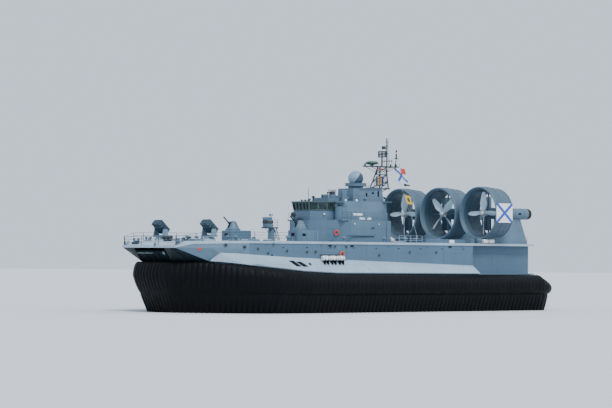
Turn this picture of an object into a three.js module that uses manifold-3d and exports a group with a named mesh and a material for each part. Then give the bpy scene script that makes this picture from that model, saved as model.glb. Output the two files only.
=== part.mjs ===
// Military amphibious hovercraft, half-size model.
// Lengths below are metres of the real craft; the root group scales them to millimetres.
// +X is port, +Y is aft and +Z is up from the floor. Stations along Y are counted from a datum a
// little forward of the middle; the root group moves the middle of the length to the origin.
import * as THREE from 'three';
import { mergeVertices } from 'three/addons/utils/BufferGeometryUtils.js';
import Module from 'manifold-3d';

const wasm = await Module();
wasm.setup();

// Driving dimensions
const MODEL_MM_PER_METRE = 500;
const SEAT = 0.0006;
const BOW_Y = -27.6;
const STERN_Y = 29.7;
const MIDDLE_Y = (BOW_Y + STERN_Y) / 2;
const SKIRT_HALF_BEAM = 12.8;
const MAST_TOP_Z = 21.9;

const DECK_Z = 8.5;
const DECK_THICKNESS = 0.28;
const DECK_FRONT_Y = -27.4;
const DECK_FRONT_HALF = 5.15;
const DECK_BREAK_Y = -20.0;
const HULL_HALF = 9.7;
const HULL_STEP_Y = 16.4;
const AFT_HALF = 7.8;
const AFT_DECK_HALF = 8.9;
const TRANSOM_Y = 28.35;
const FLOOR_Z = 3.6;
const PONTOON_BOTTOM_Z = 2.6;
const TUNNEL_HALF = 3.9;
const BOW_GATE_HALF = 2.95;

const SKIRT_ATTACH_HALF = 10.9;
const SKIRT_INNER_SETBACK = 0.5;
const SIDE_BULGE = SKIRT_HALF_BEAM - SKIRT_ATTACH_HALF;
const BOW_BULGE = 0.85;
const STERN_BULGE = 1.35;
const BOW_ATTACH_Y = BOW_Y + BOW_BULGE;
const STERN_ATTACH_Y = STERN_Y - STERN_BULGE;
const FINGER_TOP_Z = 1.95;

const DUCT_X = 7.45;
const DUCT_Z = 12.4;
const DUCT_FRONT_Y = 19.46;
const DUCT_LENGTH = 3.25;
const DUCT_OUTER_R = 3.4;
const DUCT_INNER_R = 2.95;
const PROPELLER_Y = 20.5;
const PROPELLER_R = 2.75;
const NACELLE_R = 0.72;
const NACELLE_END_Y = 28.65;

// Finishes: colour, roughness, metalness
const FINISH = {
  hullPaint: [0x6f8494, 0.6, 0.15],
  housePaint: [0x7b8e9c, 0.6, 0.15],
  lightPaint: [0xb4bfc8, 0.55, 0.15],
  deckPaint: [0xa3aeb6, 0.8, 0.05],
  darkPaint: [0x23292c, 0.6, 0.1],
  skirtRubber: [0x2a2c34, 0.75, 0.0],
  bladePaint: [0xc4d8e2, 0.4, 0.2],
  domePaint: [0x8ea3b3, 0.5, 0.1],
  windowGlass: [0x1d3533, 0.15, 0.1],
  greenPaint: [0x2f5148, 0.5, 0.1],
};

// Solid helpers

function toSolid(geometry) {
  const bare = geometry.clone();
  bare.deleteAttribute('normal');
  bare.deleteAttribute('uv');
  const merged = mergeVertices(bare, 1e-5);
  return new wasm.Manifold(new wasm.Mesh({
    numProp: 3,
    vertProperties: new Float32Array(merged.attributes.position.array),
    triVerts: new Uint32Array(merged.index.array),
  }));
}

function toGeometry(solid) {
  const mesh = solid.getMesh();
  const geometry = new THREE.BufferGeometry();
  geometry.setAttribute('position', new THREE.BufferAttribute(new Float32Array(mesh.vertProperties), 3));
  geometry.setIndex(new THREE.BufferAttribute(new Uint32Array(mesh.triVerts), 1));
  return geometry;
}

function join(...bodies) {
  return toGeometry(bodies.map(toSolid).reduce((sum, body) => sum.add(body)));
}

function cut(body, ...tools) {
  return toGeometry(tools.map(toSolid).reduce((rest, tool) => rest.subtract(tool), toSolid(body)));
}

function mirrored(geometry) {
  const copy = geometry.index ? geometry.toNonIndexed() : geometry.clone();
  copy.scale(-1, 1, 1);
  const place = copy.attributes.position;
  const first = new THREE.Vector3();
  const second = new THREE.Vector3();
  for (let corner = 0; corner < place.count; corner += 3) {
    first.fromBufferAttribute(place, corner);
    second.fromBufferAttribute(place, corner + 1);
    place.setXYZ(corner, second.x, second.y, second.z);
    place.setXYZ(corner + 1, first.x, first.y, first.z);
  }
  return copy;
}

function box([x0, x1], [y0, y1], [z0, z1]) {
  const geometry = new THREE.BoxGeometry(x1 - x0, y1 - y0, z1 - z0);
  return geometry.translate((x0 + x1) / 2, (y0 + y1) / 2, (z0 + z1) / 2);
}

function shapeOf(points) {
  return new THREE.Shape(points.map(([u, v]) => new THREE.Vector2(u, v)));
}

// A plan outline (x, y) raised from z0 to z1
function raised(points, z0, z1) {
  const options = { depth: z1 - z0, bevelEnabled: false };
  return new THREE.ExtrudeGeometry(shapeOf(points), options).translate(0, 0, z0);
}

// A side outline (y, z) run across the craft from x0 to x1
function across(points, x0, x1) {
  const options = { depth: x1 - x0, bevelEnabled: false };
  const turn = new THREE.Matrix4().makeBasis(
    new THREE.Vector3(0, 1, 0),
    new THREE.Vector3(0, 0, 1),
    new THREE.Vector3(1, 0, 0),
  );
  return new THREE.ExtrudeGeometry(shapeOf(points), options).applyMatrix4(turn).translate(x0, 0, 0);
}

// Rings of equal count skinned in order; outline is the ring's flat form, for the end faces
function loft(rings, outline) {
  const count = rings[0].length;
  const flat = outline.map(([u, v]) => new THREE.Vector2(u, v));
  const caps = THREE.ShapeUtils.triangulateShape(flat, []);
  const last = (rings.length - 1) * count;
  const faces = [];
  for (let ring = 0; ring < rings.length - 1; ring += 1) {
    for (let side = 0; side < count; side += 1) {
      const a = ring * count + side;
      const b = ring * count + (side + 1) % count;
      faces.push(a, b, b + count, a, b + count, a + count);
    }
  }
  const turning = THREE.ShapeUtils.isClockWise(flat) ? -1 : 1;
  for (const [a, b, c] of caps) {
    const order = turning > 0 ? [a, c, b] : [a, b, c];
    faces.push(...order);
    faces.push(...order.toReversed().map((corner) => corner + last));
  }
  const geometry = new THREE.BufferGeometry();
  geometry.setAttribute('position', new THREE.Float32BufferAttribute(rings.flat(2), 3));
  geometry.setIndex(faces);
  return signedVolume(geometry) < 0 ? turnedOut(geometry) : geometry;
}

function signedVolume(geometry) {
  const place = geometry.attributes.position;
  const [a, b, c] = [new THREE.Vector3(), new THREE.Vector3(), new THREE.Vector3()];
  let volume = 0;
  for (let corner = 0; corner < geometry.index.count; corner += 3) {
    a.fromBufferAttribute(place, geometry.index.getX(corner));
    b.fromBufferAttribute(place, geometry.index.getX(corner + 1));
    c.fromBufferAttribute(place, geometry.index.getX(corner + 2));
    volume += a.dot(b.cross(c));
  }
  return volume;
}

function turnedOut(geometry) {
  geometry.setIndex(Array.from(geometry.index.array).toReversed());
  return geometry;
}

// A block between a lower and an upper plan outline of equal count
function tapered(lower, upper, z0, z1) {
  const rings = [lower.map(([x, y]) => [x, y, z0]), upper.map(([x, y]) => [x, y, z1])];
  return loft(rings, lower);
}

function rod(from, to, radius, sides = 8) {
  const start = new THREE.Vector3(...from);
  const end = new THREE.Vector3(...to);
  const length = start.distanceTo(end);
  const geometry = new THREE.CylinderGeometry(radius, radius, length, sides);
  const along = end.clone().sub(start).normalize();
  geometry.applyQuaternion(new THREE.Quaternion().setFromUnitVectors(new THREE.Vector3(0, 1, 0), along));
  return geometry.translate(...start.add(end).multiplyScalar(0.5).toArray());
}

function upright(radiusLow, radiusHigh, z0, z1, [x, y], sides = 24) {
  const geometry = new THREE.CylinderGeometry(radiusHigh, radiusLow, z1 - z0, sides);
  return geometry.rotateX(Math.PI / 2).translate(x, y, (z0 + z1) / 2);
}

function lathed(profile, segments) {
  const points = profile.map(([radius, y]) => new THREE.Vector2(radius, y));
  return new THREE.LatheGeometry(points, segments);
}

function bothSides(half) {
  return [...half, ...half.toReversed().map(([x, y]) => [-x, y])];
}

// Craft assembly

const craft = new THREE.Group();
craft.scale.setScalar(MODEL_MM_PER_METRE);
craft.position.y = -MIDDLE_Y * MODEL_MM_PER_METRE;

function add(name, geometry, finish) {
  const [color, roughness, metalness] = finish;
  const material = new THREE.MeshStandardMaterial({ color, roughness, metalness });
  const mesh = new THREE.Mesh(geometry, material);
  mesh.name = name;
  craft.add(mesh);
}

function addPair(name, portGeometry, finish) {
  add(`${name}_port`, portGeometry, finish);
  add(`${name}_starboard`, mirrored(portGeometry), finish);
}

// One column of a table at station y, straight between its rows
function readAt(rows, column, y) {
  const after = rows.findIndex((row) => row.y >= y);
  const next = after < 0 ? rows.length - 1 : Math.max(1, after);
  const [low, high] = [rows[next - 1], rows[next]];
  const share = THREE.MathUtils.clamp((y - low.y) / (high.y - low.y), 0, 1);
  return low[column] + (high[column] - low[column]) * share;
}

// Deck height: level, with a short droop at the front edge
const DECK_LINE = [
  { y: DECK_FRONT_Y, top: 7.88 },
  { y: -25.6, top: 8.35 },
  { y: DECK_BREAK_Y, top: DECK_Z },
  { y: HULL_STEP_Y, top: DECK_Z },
];

function deckTop(y) {
  return readAt(DECK_LINE, 'top', y);
}

// The skirt's attachment line in plan: straight sides, a tapering bow and rounded stern corners
const STERN_CORNER_R = 1.6;
const GATE_X = BOW_GATE_HALF + 0.02;
const GATE_SETBACK = 0.23;
const BOW_LINE = [
  { x: GATE_X, y: BOW_ATTACH_Y + GATE_SETBACK },
  { x: 3.7, y: -26.0 },
  { x: 5.17, y: -24.85 },
  { x: 6.7, y: -23.55 },
  { x: 8.2, y: -22.1 },
  { x: 9.5, y: -20.4 },
  { x: 10.35, y: -18.5 },
  { x: 10.8, y: -16.9 },
  { x: SKIRT_ATTACH_HALF, y: -16.4 },
];

// Bag top, bulge and tuck: high, narrow and drawn in below round the bow, level and wide along the sides
const SKIRT_FORM = [
  { y: BOW_ATTACH_Y, top: 5.95, bulge: BOW_BULGE, tuck: 1.3 },
  { y: -25.4, top: 5.95, bulge: 0.64, tuck: 1.3 },
  { y: -24.0, top: 5.95, bulge: 0.64, tuck: 1.2 },
  { y: -20.0, top: 5.55, bulge: 1.1, tuck: 0.7 },
  { y: -12.7, top: 4.85, bulge: 1.75, tuck: 0 },
  { y: -7.6, top: 4.62, bulge: SIDE_BULGE, tuck: 0 },
  { y: 16.4, top: 4.55, bulge: SIDE_BULGE, tuck: 0 },
  { y: 26.3, top: 4.55, bulge: SIDE_BULGE, tuck: 0 },
  { y: STERN_ATTACH_Y, top: 3.3, bulge: STERN_BULGE, tuck: 0 },
];

// Height where the tuck starts; from there down to the floor it grows evenly
const TUCK_TOP_Z = 4.4;

// Skirt section at a station: offset out from the attachment line, and height
function skirtSection(y) {
  const [top, bulge, tuck] = ['top', 'bulge', 'tuck'].map((column) => readAt(SKIRT_FORM, column, y));
  const drawnIn = ([out, z]) => [out - tuck * Math.max(0, 1 - z / TUCK_TOP_Z), z];
  const middle = (top + FINGER_TOP_Z) / 2;
  const half = (top - FINGER_TOP_Z) / 2;
  const points = [];
  const steps = 7;
  for (let step = 1; step < steps; step += 1) {
    const turn = Math.PI * (0.5 - step / steps * 0.87);
    points.push([bulge * (0.22 + 0.78 * Math.cos(turn)), middle + half * Math.sin(turn)]);
  }
  points.push([bulge * 0.63, FINGER_TOP_Z], [bulge * 0.36, 0], [bulge * 0.12, 0], [0, FINGER_TOP_Z]);
  const inner = [-SKIRT_INNER_SETBACK, FINGER_TOP_Z + 0.45];
  return [[-SKIRT_INNER_SETBACK, top], [0, top], ...points.map(drawnIn), inner];
}

// One skirt length: stations are { x, y, nx, ny } on the attachment line
function skirtLength(stations) {
  const sections = stations.map(({ y }) => skirtSection(y));
  const rings = stations.map(({ x, y, nx, ny }, place) => (
    sections[place].map(([out, z]) => [x + nx * out, y + ny * out, z])));
  return loft(rings, sections[0]);
}

// Station of the port bow skirt at a row of the bow line, square to the chord of its neighbours
function bowStation(row) {
  const { x, y } = BOW_LINE[row];
  const [before, after] = [BOW_LINE[row - 1], BOW_LINE[row + 1]];
  const length = Math.hypot(after.x - before.x, after.y - before.y);
  return { x, y, nx: (after.y - before.y) / length, ny: (before.x - after.x) / length };
}

// Stations of the port bow skirt, its inboard end square to the ramp's gap
function bowStations() {
  const rows = BOW_LINE.slice(1, -1).map((_, place) => bowStation(place + 1));
  return [{ ...BOW_LINE[0], nx: 0, ny: -1 }, ...rows];
}

function sideStation(y) {
  return { x: SKIRT_ATTACH_HALF, y, nx: 1, ny: 0 };
}

const SIDE_STATION_Y = [-12.7, -7.6, 4.0, 16.4, 26.3];
const SKIRT_SPLIT_Y = BOW_LINE.at(-1).y;

function buildSkirts() {
  const bowHalf = [...bowStations(), sideStation(SKIRT_SPLIT_Y - 2 * SEAT)];
  addPair('skirt_bow', skirtLength(bowHalf), FINISH.skirtRubber);

  const centre = [-1, -0.5, 0, 0.5, 1].map((share) => ({
    x: share * (GATE_X - 2 * SEAT),
    y: BOW_ATTACH_Y + GATE_SETBACK * share ** 2,
    nx: 0,
    ny: -1,
  }));
  add('skirt_bow_centre', skirtLength(centre), FINISH.skirtRubber);

  const corner = [20, 45, 70].map((degrees) => {
    const turn = THREE.MathUtils.degToRad(degrees);
    return {
      x: SKIRT_ATTACH_HALF - STERN_CORNER_R * (1 - Math.cos(turn)),
      y: STERN_ATTACH_Y - STERN_CORNER_R * (1 - Math.sin(turn)),
      nx: Math.cos(turn),
      ny: Math.sin(turn),
    };
  });
  const cornerX = SKIRT_ATTACH_HALF - STERN_CORNER_R;
  const turned = { x: cornerX, y: STERN_ATTACH_Y, nx: 0, ny: 1 };
  const side = [sideStation(SKIRT_SPLIT_Y), ...SIDE_STATION_Y.map(sideStation), ...corner, turned];
  addPair('skirt_side', skirtLength(side), FINISH.skirtRubber);

  const sternX = cornerX - 2 * SEAT;
  const stern = [sternX, 0, -sternX].map((x) => ({ ...turned, x }));
  add('skirt_stern', skirtLength(stern), FINISH.skirtRubber);
}

// Cushion dividers: a bag on top and a thin finger wall down to the floor
const DIVIDER_TOP_Z = PONTOON_BOTTOM_Z - SEAT;
const DIVIDER_HALF = 0.5;
const KEEL_FRONT_Y = -22.0;
const KEEL_END_Y = 27.6;
const CROSS_Y = 2.0;
const CROSS_HALF = 10.3;

function dividerOutline(half) {
  const hem = half * 0.4;
  return [
    [-half, DIVIDER_TOP_Z],
    [-half, 1.8],
    [-hem, 0],
    [hem, 0],
    [half, 1.8],
    [half, DIVIDER_TOP_Z],
  ];
}

function buildDividers() {
  const outline = dividerOutline(DIVIDER_HALF);
  const keel = loft([KEEL_FRONT_Y, KEEL_END_Y].map((y) => outline.map(([x, z]) => [x, y, z])), outline);
  const cross = across(outline.map(([y, z]) => [CROSS_Y + y, z]), -CROSS_HALF, CROSS_HALF);
  add('cushion_divider', join(keel, cross), FINISH.skirtRubber);
}

// Hull

// Half width of the hull: straight sides, chamfered forward of the deck break
function hullEdge(y) {
  const share = (y - DECK_FRONT_Y) / (DECK_BREAK_Y - DECK_FRONT_Y);
  return DECK_FRONT_HALF + (HULL_HALF - DECK_FRONT_HALF) * Math.min(1, share);
}

// The bow skirt's inner face in plan, with a seat gap
function skirtInnerLine() {
  const gap = SKIRT_INNER_SETBACK + SEAT;
  return bowStations().map(({ x, y, nx, ny }) => [x - nx * gap, y - ny * gap]);
}

// Plating of the vehicle deck: clear of the hull sides, its top above the pontoon's, out to the sill
const FLOOR = { clear: 0.02, rise: 0.02, sillEnd: 28.0, sillZ: FLOOR_Z - 0.16 };

function buildPontoon() {
  const gap = SKIRT_INNER_SETBACK + SEAT;
  const inner = skirtInnerLine();
  const half = [
    [BOW_GATE_HALF - 0.1, inner[0][1] + 0.02],
    ...inner,
    [SKIRT_ATTACH_HALF - gap, SKIRT_SPLIT_Y],
    [SKIRT_ATTACH_HALF - gap, STERN_ATTACH_Y - gap - STERN_CORNER_R],
    [SKIRT_ATTACH_HALF - gap - 0.5, STERN_ATTACH_Y - gap - 0.5],
    [SKIRT_ATTACH_HALF - gap - STERN_CORNER_R, STERN_ATTACH_Y - gap],
  ];
  const plan = raised(bothSides(half), PONTOON_BOTTOM_Z, FLOOR_Z);
  const mouthEnd = RAMP_HINGE.y + RAMP_HINGE.radius + SEAT;
  const mouth = box([-BOW_GATE_HALF, BOW_GATE_HALF], [BOW_Y, mouthEnd], [PONTOON_BOTTOM_Z - 1, FLOOR_Z + 1]);
  const { clear, rise, sillEnd, sillZ } = FLOOR;
  const [bowHalf, mainHalf] = [BOW_GATE_HALF - clear, TUNNEL_HALF - clear];
  const floorPlan = bothSides([
    [bowHalf, mouthEnd],
    [bowHalf, DECK_BREAK_Y + clear],
    [mainHalf, DECK_BREAK_Y + clear],
    [mainHalf, sillEnd],
  ]);
  const floor = raised(floorPlan, sillZ, FLOOR_Z + rise);
  add('pontoon', join(cut(plan, mouth), floor), FINISH.darkPaint);
}

// Row of the bow line beside the hull's shoulder, and the height where the bow's flare starts
const SHOULDER_ROW = 5;
const CHIN_Z = 6.0;

function buildHullSides() {
  const plan = [
    [TUNNEL_HALF, DECK_BREAK_Y],
    [HULL_HALF, DECK_BREAK_Y],
    [HULL_HALF, HULL_STEP_Y],
    [AFT_HALF, HULL_STEP_Y],
    [AFT_HALF, TRANSOM_Y],
    [TUNNEL_HALF, TRANSOM_Y],
  ];
  const top = DECK_Z - DECK_THICKNESS - SEAT;
  const skirtRoom = raised([
    ...skirtInnerLine().slice(SHOULDER_ROW),
    [SKIRT_HALF_BEAM, SKIRT_SPLIT_Y],
    [SKIRT_HALF_BEAM, DECK_BREAK_Y - 1],
  ], PONTOON_BOTTOM_Z, CHIN_Z - 0.4);
  addPair('hull_side', cut(raised(plan, FLOOR_Z + SEAT, top), skirtRoom), FINISH.hullPaint);
}

// Edge of the bow cheek in plan at the chin and at the brow: gate, front face, ridge, chamfer, shoulder
const BROW_Z = 7.6;
const LAP = 1e-4;
const CHEEK_EDGE = [
  { chin: [BOW_GATE_HALF, -26.24], brow: [BOW_GATE_HALF, -27.35] },
  { chin: [4.7, -24.9], brow: [4.1, -27.35] },
  { chin: [6.6, -23.3], brow: [5.12, -27.35] },
  { chin: [8.1, -21.8], brow: [7.4, -23.65] },
  { chin: [HULL_HALF - 0.01, DECK_BREAK_Y - SEAT], brow: [HULL_HALF - 0.01, DECK_BREAK_Y - SEAT] },
];
const RIDGE_ROW = 2;

// Half width of the hull at a station and height: chamfer of the cheek forward, straight side aft
function hullSideX(y, z) {
  const share = THREE.MathUtils.clamp((z - CHIN_Z) / (BROW_Z - CHIN_Z), 0, 1);
  const rows = CHEEK_EDGE.slice(RIDGE_ROW).map(({ chin, brow }) => ({
    x: chin[0] + (brow[0] - chin[0]) * share,
    y: chin[1] + (brow[1] - chin[1]) * share,
  }));
  return y < DECK_BREAK_Y ? readAt(rows, 'x', y) : HULL_HALF;
}

// Flare of the cheek between chin and brow, its outer edge moved out by the growth
function cheekFlare(growth) {
  const aft = [BOW_GATE_HALF, DECK_BREAK_Y - SEAT];
  const grown = (edge) => [...CHEEK_EDGE.map((row) => [row[edge][0] + growth, row[edge][1]]), aft];
  return tapered(grown('chin'), grown('brow'), CHIN_Z - LAP, BROW_Z);
}

// The bow cheeks carry the raked face on both sides of the bow ramp
function buildBowCheeks() {
  const inner = skirtInnerLine();
  const aftY = DECK_BREAK_Y - SEAT;
  const foot = [
    [BOW_GATE_HALF, inner[0][1] + 0.01],
    ...inner.slice(1, SHOULDER_ROW + 1),
    [inner[SHOULDER_ROW][0], aftY],
    [BOW_GATE_HALF, aftY],
  ];
  const brow = [...CHEEK_EDGE.map((row) => row.brow), [BOW_GATE_HALF, aftY]];
  const low = raised(foot, FLOOR_Z + SEAT, CHIN_Z);
  const wall = raised(brow, BROW_Z - LAP, DECK_Z);
  const under = DECK_THICKNESS + SEAT;
  const above = [
    [DECK_FRONT_Y - 1, deckTop(DECK_FRONT_Y) - under],
    ...DECK_LINE.slice(0, 3).map(({ y, top }) => [y, top - under]),
    [DECK_BREAK_Y + 1, DECK_Z - under],
    [DECK_BREAK_Y + 1, DECK_Z + 1],
    [DECK_FRONT_Y - 1, DECK_Z + 1],
  ];
  const underDeck = cut(join(low, cheekFlare(0), wall), across(above, 0, SKIRT_HALF_BEAM));
  addPair('bow_cheek', underDeck, FINISH.darkPaint);
}

function buildDecks() {
  const rings = DECK_LINE.map(({ y, top }) => {
    const x = hullEdge(y);
    return [[x, y, top], [-x, y, top], [-x, y, top - DECK_THICKNESS], [x, y, top - DECK_THICKNESS]];
  });
  const outline = [[1, 1], [-1, 1], [-1, 0], [1, 0]];
  const aftPlan = bothSides([[AFT_DECK_HALF, HULL_STEP_Y - 0.1], [AFT_DECK_HALF, TRANSOM_Y]]);
  const aft = raised(aftPlan, DECK_Z - DECK_THICKNESS, DECK_Z);
  const { x, y, ringZ, ringR } = LAUNCHER;
  const ringFoot = deckTop(y) - DECK_THICKNESS / 2;
  const bases = [x, -x].map((side) => upright(ringR + 0.06, ringR, ringFoot, ringZ, [side, y]));
  add('main_deck', join(loft(rings, outline), aft, ...bases), FINISH.deckPaint);
}

// Light sloped plate between the hull's knuckle and the skirt: stations along the craft
const SHIELD_STATIONS = [
  { hullY: -23.35, hullZ: 6.4, footX: 6.85, footY: -23.5, footZ: 6.08 },
  { hullY: -22.8, hullZ: 7.05, footX: 7.75, footY: -22.75, footZ: 6.04 },
  { hullY: -21.3, hullZ: 7.02, footX: 9.2, footY: -21.2, footZ: 5.83 },
  { hullY: DECK_BREAK_Y, hullZ: 6.9, footX: 10.0, footY: -20.1, footZ: 5.66 },
  { hullY: -12.7, hullZ: 6.55, footX: 11.0, footY: -12.7, footZ: 4.95 },
  { hullY: -7.6, hullZ: 6.4, footX: 11.05, footY: -7.6, footZ: 4.72 },
  { hullY: HULL_STEP_Y, hullZ: 5.7, footX: 11.05, footY: HULL_STEP_Y, footZ: 4.65 },
];

function buildShields() {
  const rings = SHIELD_STATIONS.map(({ hullY, hullZ, footX, footY, footZ }) => {
    return [
      [hullSideX(hullY, hullZ) + 2 * SEAT, hullY, hullZ],
      [footX, footY, footZ + 0.1],
      [footX, footY, footZ],
      [hullSideX(hullY, footZ) + 2 * SEAT, hullY, footZ],
    ];
  });
  const plate = loft(rings, [[0, 2], [1, 1], [1, 0], [0, 0]]);
  addPair('side_shield', cut(plate, cheekFlare(2 * SEAT)), FINISH.lightPaint);
  const inner = AFT_HALF + SEAT;
  const blockEnd = STERN_ATTACH_Y - STERN_CORNER_R - SKIRT_INNER_SETBACK - 0.1;
  const outer = SKIRT_ATTACH_HALF - SKIRT_INNER_SETBACK - 0.02;
  const block = box([inner, outer], [HULL_STEP_Y + SEAT, blockEnd], [FLOOR_Z + SEAT, 4.6]);
  const walkway = box([inner, SKIRT_ATTACH_HALF + 0.1], [HULL_STEP_Y + SEAT, blockEnd], [4.58, 4.72]);
  addPair('aft_side_deck', join(block, walkway), FINISH.hullPaint);
}

// Ramps
const RAMP_HINGE = { y: -23.6, z: 3.85, radius: 0.12 };
const RAMP_TIP = { y: -27.1, z: 7.12 };
const RAMP_HALF = 2.75;
const RAMP_THICKNESS = 0.22;
const STERN_RAMP = { y: 28.2, z: 3.78, radius: 0.11, half: 3.8, topZ: 8.1, thickness: 0.2 };

function buildRamps() {
  const rise = Math.atan2(RAMP_TIP.z - RAMP_HINGE.z, RAMP_TIP.y - RAMP_HINGE.y);
  const [backY, backZ] = [Math.sin(rise) * RAMP_THICKNESS, -Math.cos(rise) * RAMP_THICKNESS];
  const outline = [
    [RAMP_HINGE.y, RAMP_HINGE.z],
    [RAMP_TIP.y, RAMP_TIP.z],
    [RAMP_TIP.y + backY, RAMP_TIP.z + backZ],
    [RAMP_HINGE.y + backY, RAMP_HINGE.z + backZ],
  ];
  const bowPlate = across(outline, -RAMP_HALF, RAMP_HALF);
  add('bow_ramp', join(bowPlate, hingeRod(BOW_GATE_HALF - SEAT, RAMP_HINGE)), FINISH.darkPaint);

  const { y, z, half, topZ, thickness } = STERN_RAMP;
  const plate = box([-half, half], [y - thickness / 2, y + thickness / 2], [z, topZ]);
  add('stern_ramp', join(plate, hingeRod(TUNNEL_HALF - SEAT, STERN_RAMP)), FINISH.hullPaint);
}

// Rod along a hinge line across the craft
function hingeRod(reach, { y, z, radius }) {
  return rod([-reach, y, z], [reach, y, z], radius, 12);
}

// Superstructure tiers from the deck up, with the port half of each plan from the bow aft
const TIER_TOP_Z = 11.2;
const BRIDGE_LOW_Z = 12.3;
const TIERS = [
  { z0: DECK_Z + SEAT, z1: TIER_TOP_Z, half: [[1.8, -4.2], [5.6, -0.5], [5.8, 5.9], [2.8, 8.4]] },
  {
    z0: TIER_TOP_Z - 0.01,
    z1: BRIDGE_LOW_Z,
    half: [[1.65, -3.85], [3.15, -2.35], [3.15, -0.9], [4.5, -0.5], [4.6, 5.6], [2.5, 8.35]],
  },
];

const UPPER_LOW = bothSides([[1.5, 3.4], [1.9, 4.2], [1.9, 8.25]]);
const UPPER_TOP = bothSides([[1.4, 3.45], [1.7, 4.2], [1.7, 8.1]]);
const BRIDGE_SILL_Z = 12.5;
const BRIDGE_HEAD_Z = 13.3;
const BRIDGE_TOP_Z = 13.42;
const BRIDGE = { frontHalf: 1.6, half: 3.24, frontY: -4.0, shoulderY: -2.36, aftY: -1.04 };
const BRIDGE_WALL = 0.14;
const BRIDGE_LEAN = 0.24;
const HALF_CORNER = Math.tan(Math.PI / 8);

// Plan of the bridge with its 45 degree corners, moved inwards by the inset
function bridgeOutline(inset) {
  const { frontHalf, half, frontY, shoulderY, aftY } = BRIDGE;
  return bothSides([
    [frontHalf - inset * HALF_CORNER, frontY + inset],
    [half - inset, shoulderY + inset * HALF_CORNER],
    [half - inset, aftY - inset],
  ]);
}

// Ring of the bridge's walls between two heights: the front and sides lean out, the back stands upright
function bridgeRing(inset, z0, z1) {
  const { frontHalf, half, frontY, shoulderY, aftY } = BRIDGE;
  const [low, high] = [z0, z1].map((z) => {
    const leant = inset + BRIDGE_LEAN * (BRIDGE_TOP_Z - z) / (BRIDGE_TOP_Z - BRIDGE_LOW_Z);
    return bothSides([
      [frontHalf - leant * HALF_CORNER, frontY + leant],
      [half - leant, shoulderY + leant * HALF_CORNER],
      [half - leant, aftY - inset],
    ]);
  });
  return tapered(low, high, z0, z1);
}

// Windowed faces of the bridge from the middle to port: ends in plan, pane count
const SIDE_WINDOW_END_Y = BRIDGE.aftY - 0.21;
const BRIDGE_FACES = [
  { from: [0, BRIDGE.frontY], to: [BRIDGE.frontHalf, BRIDGE.frontY], panes: 2.5 },
  { from: [BRIDGE.frontHalf, BRIDGE.frontY], to: [BRIDGE.half, BRIDGE.shoulderY], panes: 2 },
  { from: [BRIDGE.half, BRIDGE.shoulderY], to: [BRIDGE.half, SIDE_WINDOW_END_Y], panes: 1 },
];
const WINDOW_POST = 0.3;
const WINDOW_CUT = 0.45;
const MIDDLE_LAP = 0.01;

// Window holes of one face: each is a plan strip across the wall, between two posts
function faceWindows({ from, to, panes }) {
  const [dx, dy] = [to[0] - from[0], to[1] - from[1]];
  const length = Math.hypot(dx, dy);
  const [ux, uy] = [dx / length, dy / length];
  const pitch = length / panes;
  const holes = [];
  for (let end = length; end > WINDOW_POST; end -= pitch) {
    const start = Math.max(end - pitch + WINDOW_POST / 2, -MIDDLE_LAP);
    const stop = end - WINDOW_POST / 2;
    const corners = [[start, -WINDOW_CUT], [stop, -WINDOW_CUT], [stop, WINDOW_CUT], [start, WINDOW_CUT]];
    const plan = corners.map(([along, over]) => [
      from[0] + ux * along - uy * over,
      from[1] + uy * along + ux * over,
    ]);
    holes.push(raised(plan, BRIDGE_SILL_Z, BRIDGE_HEAD_Z));
  }
  return holes;
}

// Block behind the bridge, with the low box on its roof
const AFT_BLOCK = {
  topZ: 13.6,
  low: [[3.2, BRIDGE.aftY + SEAT], [4.4, -0.5], [4.55, 5.3], [2.4, 8.3]],
  high: [[3.1, BRIDGE.aftY + SEAT], [4.2, -0.4], [4.3, 5.1], [2.3, 8.28]],
  roofBox: { half: 1.3, y0: -0.6, y1: 1.2, topZ: 14.05 },
};

function buildSuperstructure() {
  const tiers = TIERS.map(({ z0, z1, half }) => raised(bothSides(half), z0, z1));
  add('superstructure_lower', join(...tiers, ...tubs()), FINISH.housePaint);
  const outer = bridgeRing(0, BRIDGE_LOW_Z + SEAT, BRIDGE_TOP_Z);
  const inner = bridgeRing(BRIDGE_WALL, BRIDGE_LOW_Z + 0.1, BRIDGE_TOP_Z + 0.2);
  const windows = BRIDGE_FACES.flatMap(faceWindows);
  add('wheelhouse', cut(outer, inner, ...windows, ...windows.map(mirrored)), FINISH.housePaint);
  const eaves = raised(bridgeOutline(-0.12), BRIDGE_TOP_Z + SEAT, BRIDGE_TOP_Z + 0.12);
  const behind = box([-BRIDGE.half - 1, BRIDGE.half + 1], [BRIDGE.aftY, BRIDGE.aftY + 1], [13, 14]);
  add('wheelhouse_roof', cut(eaves, behind), FINISH.housePaint);

  const glassOuter = bridgeRing(BRIDGE_WALL + SEAT, BRIDGE_SILL_Z - 0.03, BRIDGE_HEAD_Z + 0.03);
  const glassInner = bridgeRing(BRIDGE_WALL + 0.06, BRIDGE_SILL_Z - 0.1, BRIDGE_HEAD_Z + 0.1);
  const glassEnd = box([-BRIDGE.half, BRIDGE.half], [SIDE_WINDOW_END_Y, BRIDGE.aftY], [12, 14]);
  add('wheelhouse_glass', cut(glassOuter, glassInner, glassEnd), FINISH.windowGlass);

  const { topZ, low, high, roofBox } = AFT_BLOCK;
  const block = tapered(bothSides(low), bothSides(high), BRIDGE_LOW_Z + SEAT, topZ);
  const step = box([-roofBox.half, roofBox.half], [roofBox.y0, roofBox.y1], [topZ - 0.1, roofBox.topZ]);
  add('superstructure_aft', join(block, step), FINISH.housePaint);
  const upper = tapered(UPPER_LOW, UPPER_TOP, topZ + SEAT, RADAR.baseZ - SEAT);
  add('superstructure_upper', join(upper, ...radarDrum()), FINISH.housePaint);
}

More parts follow.
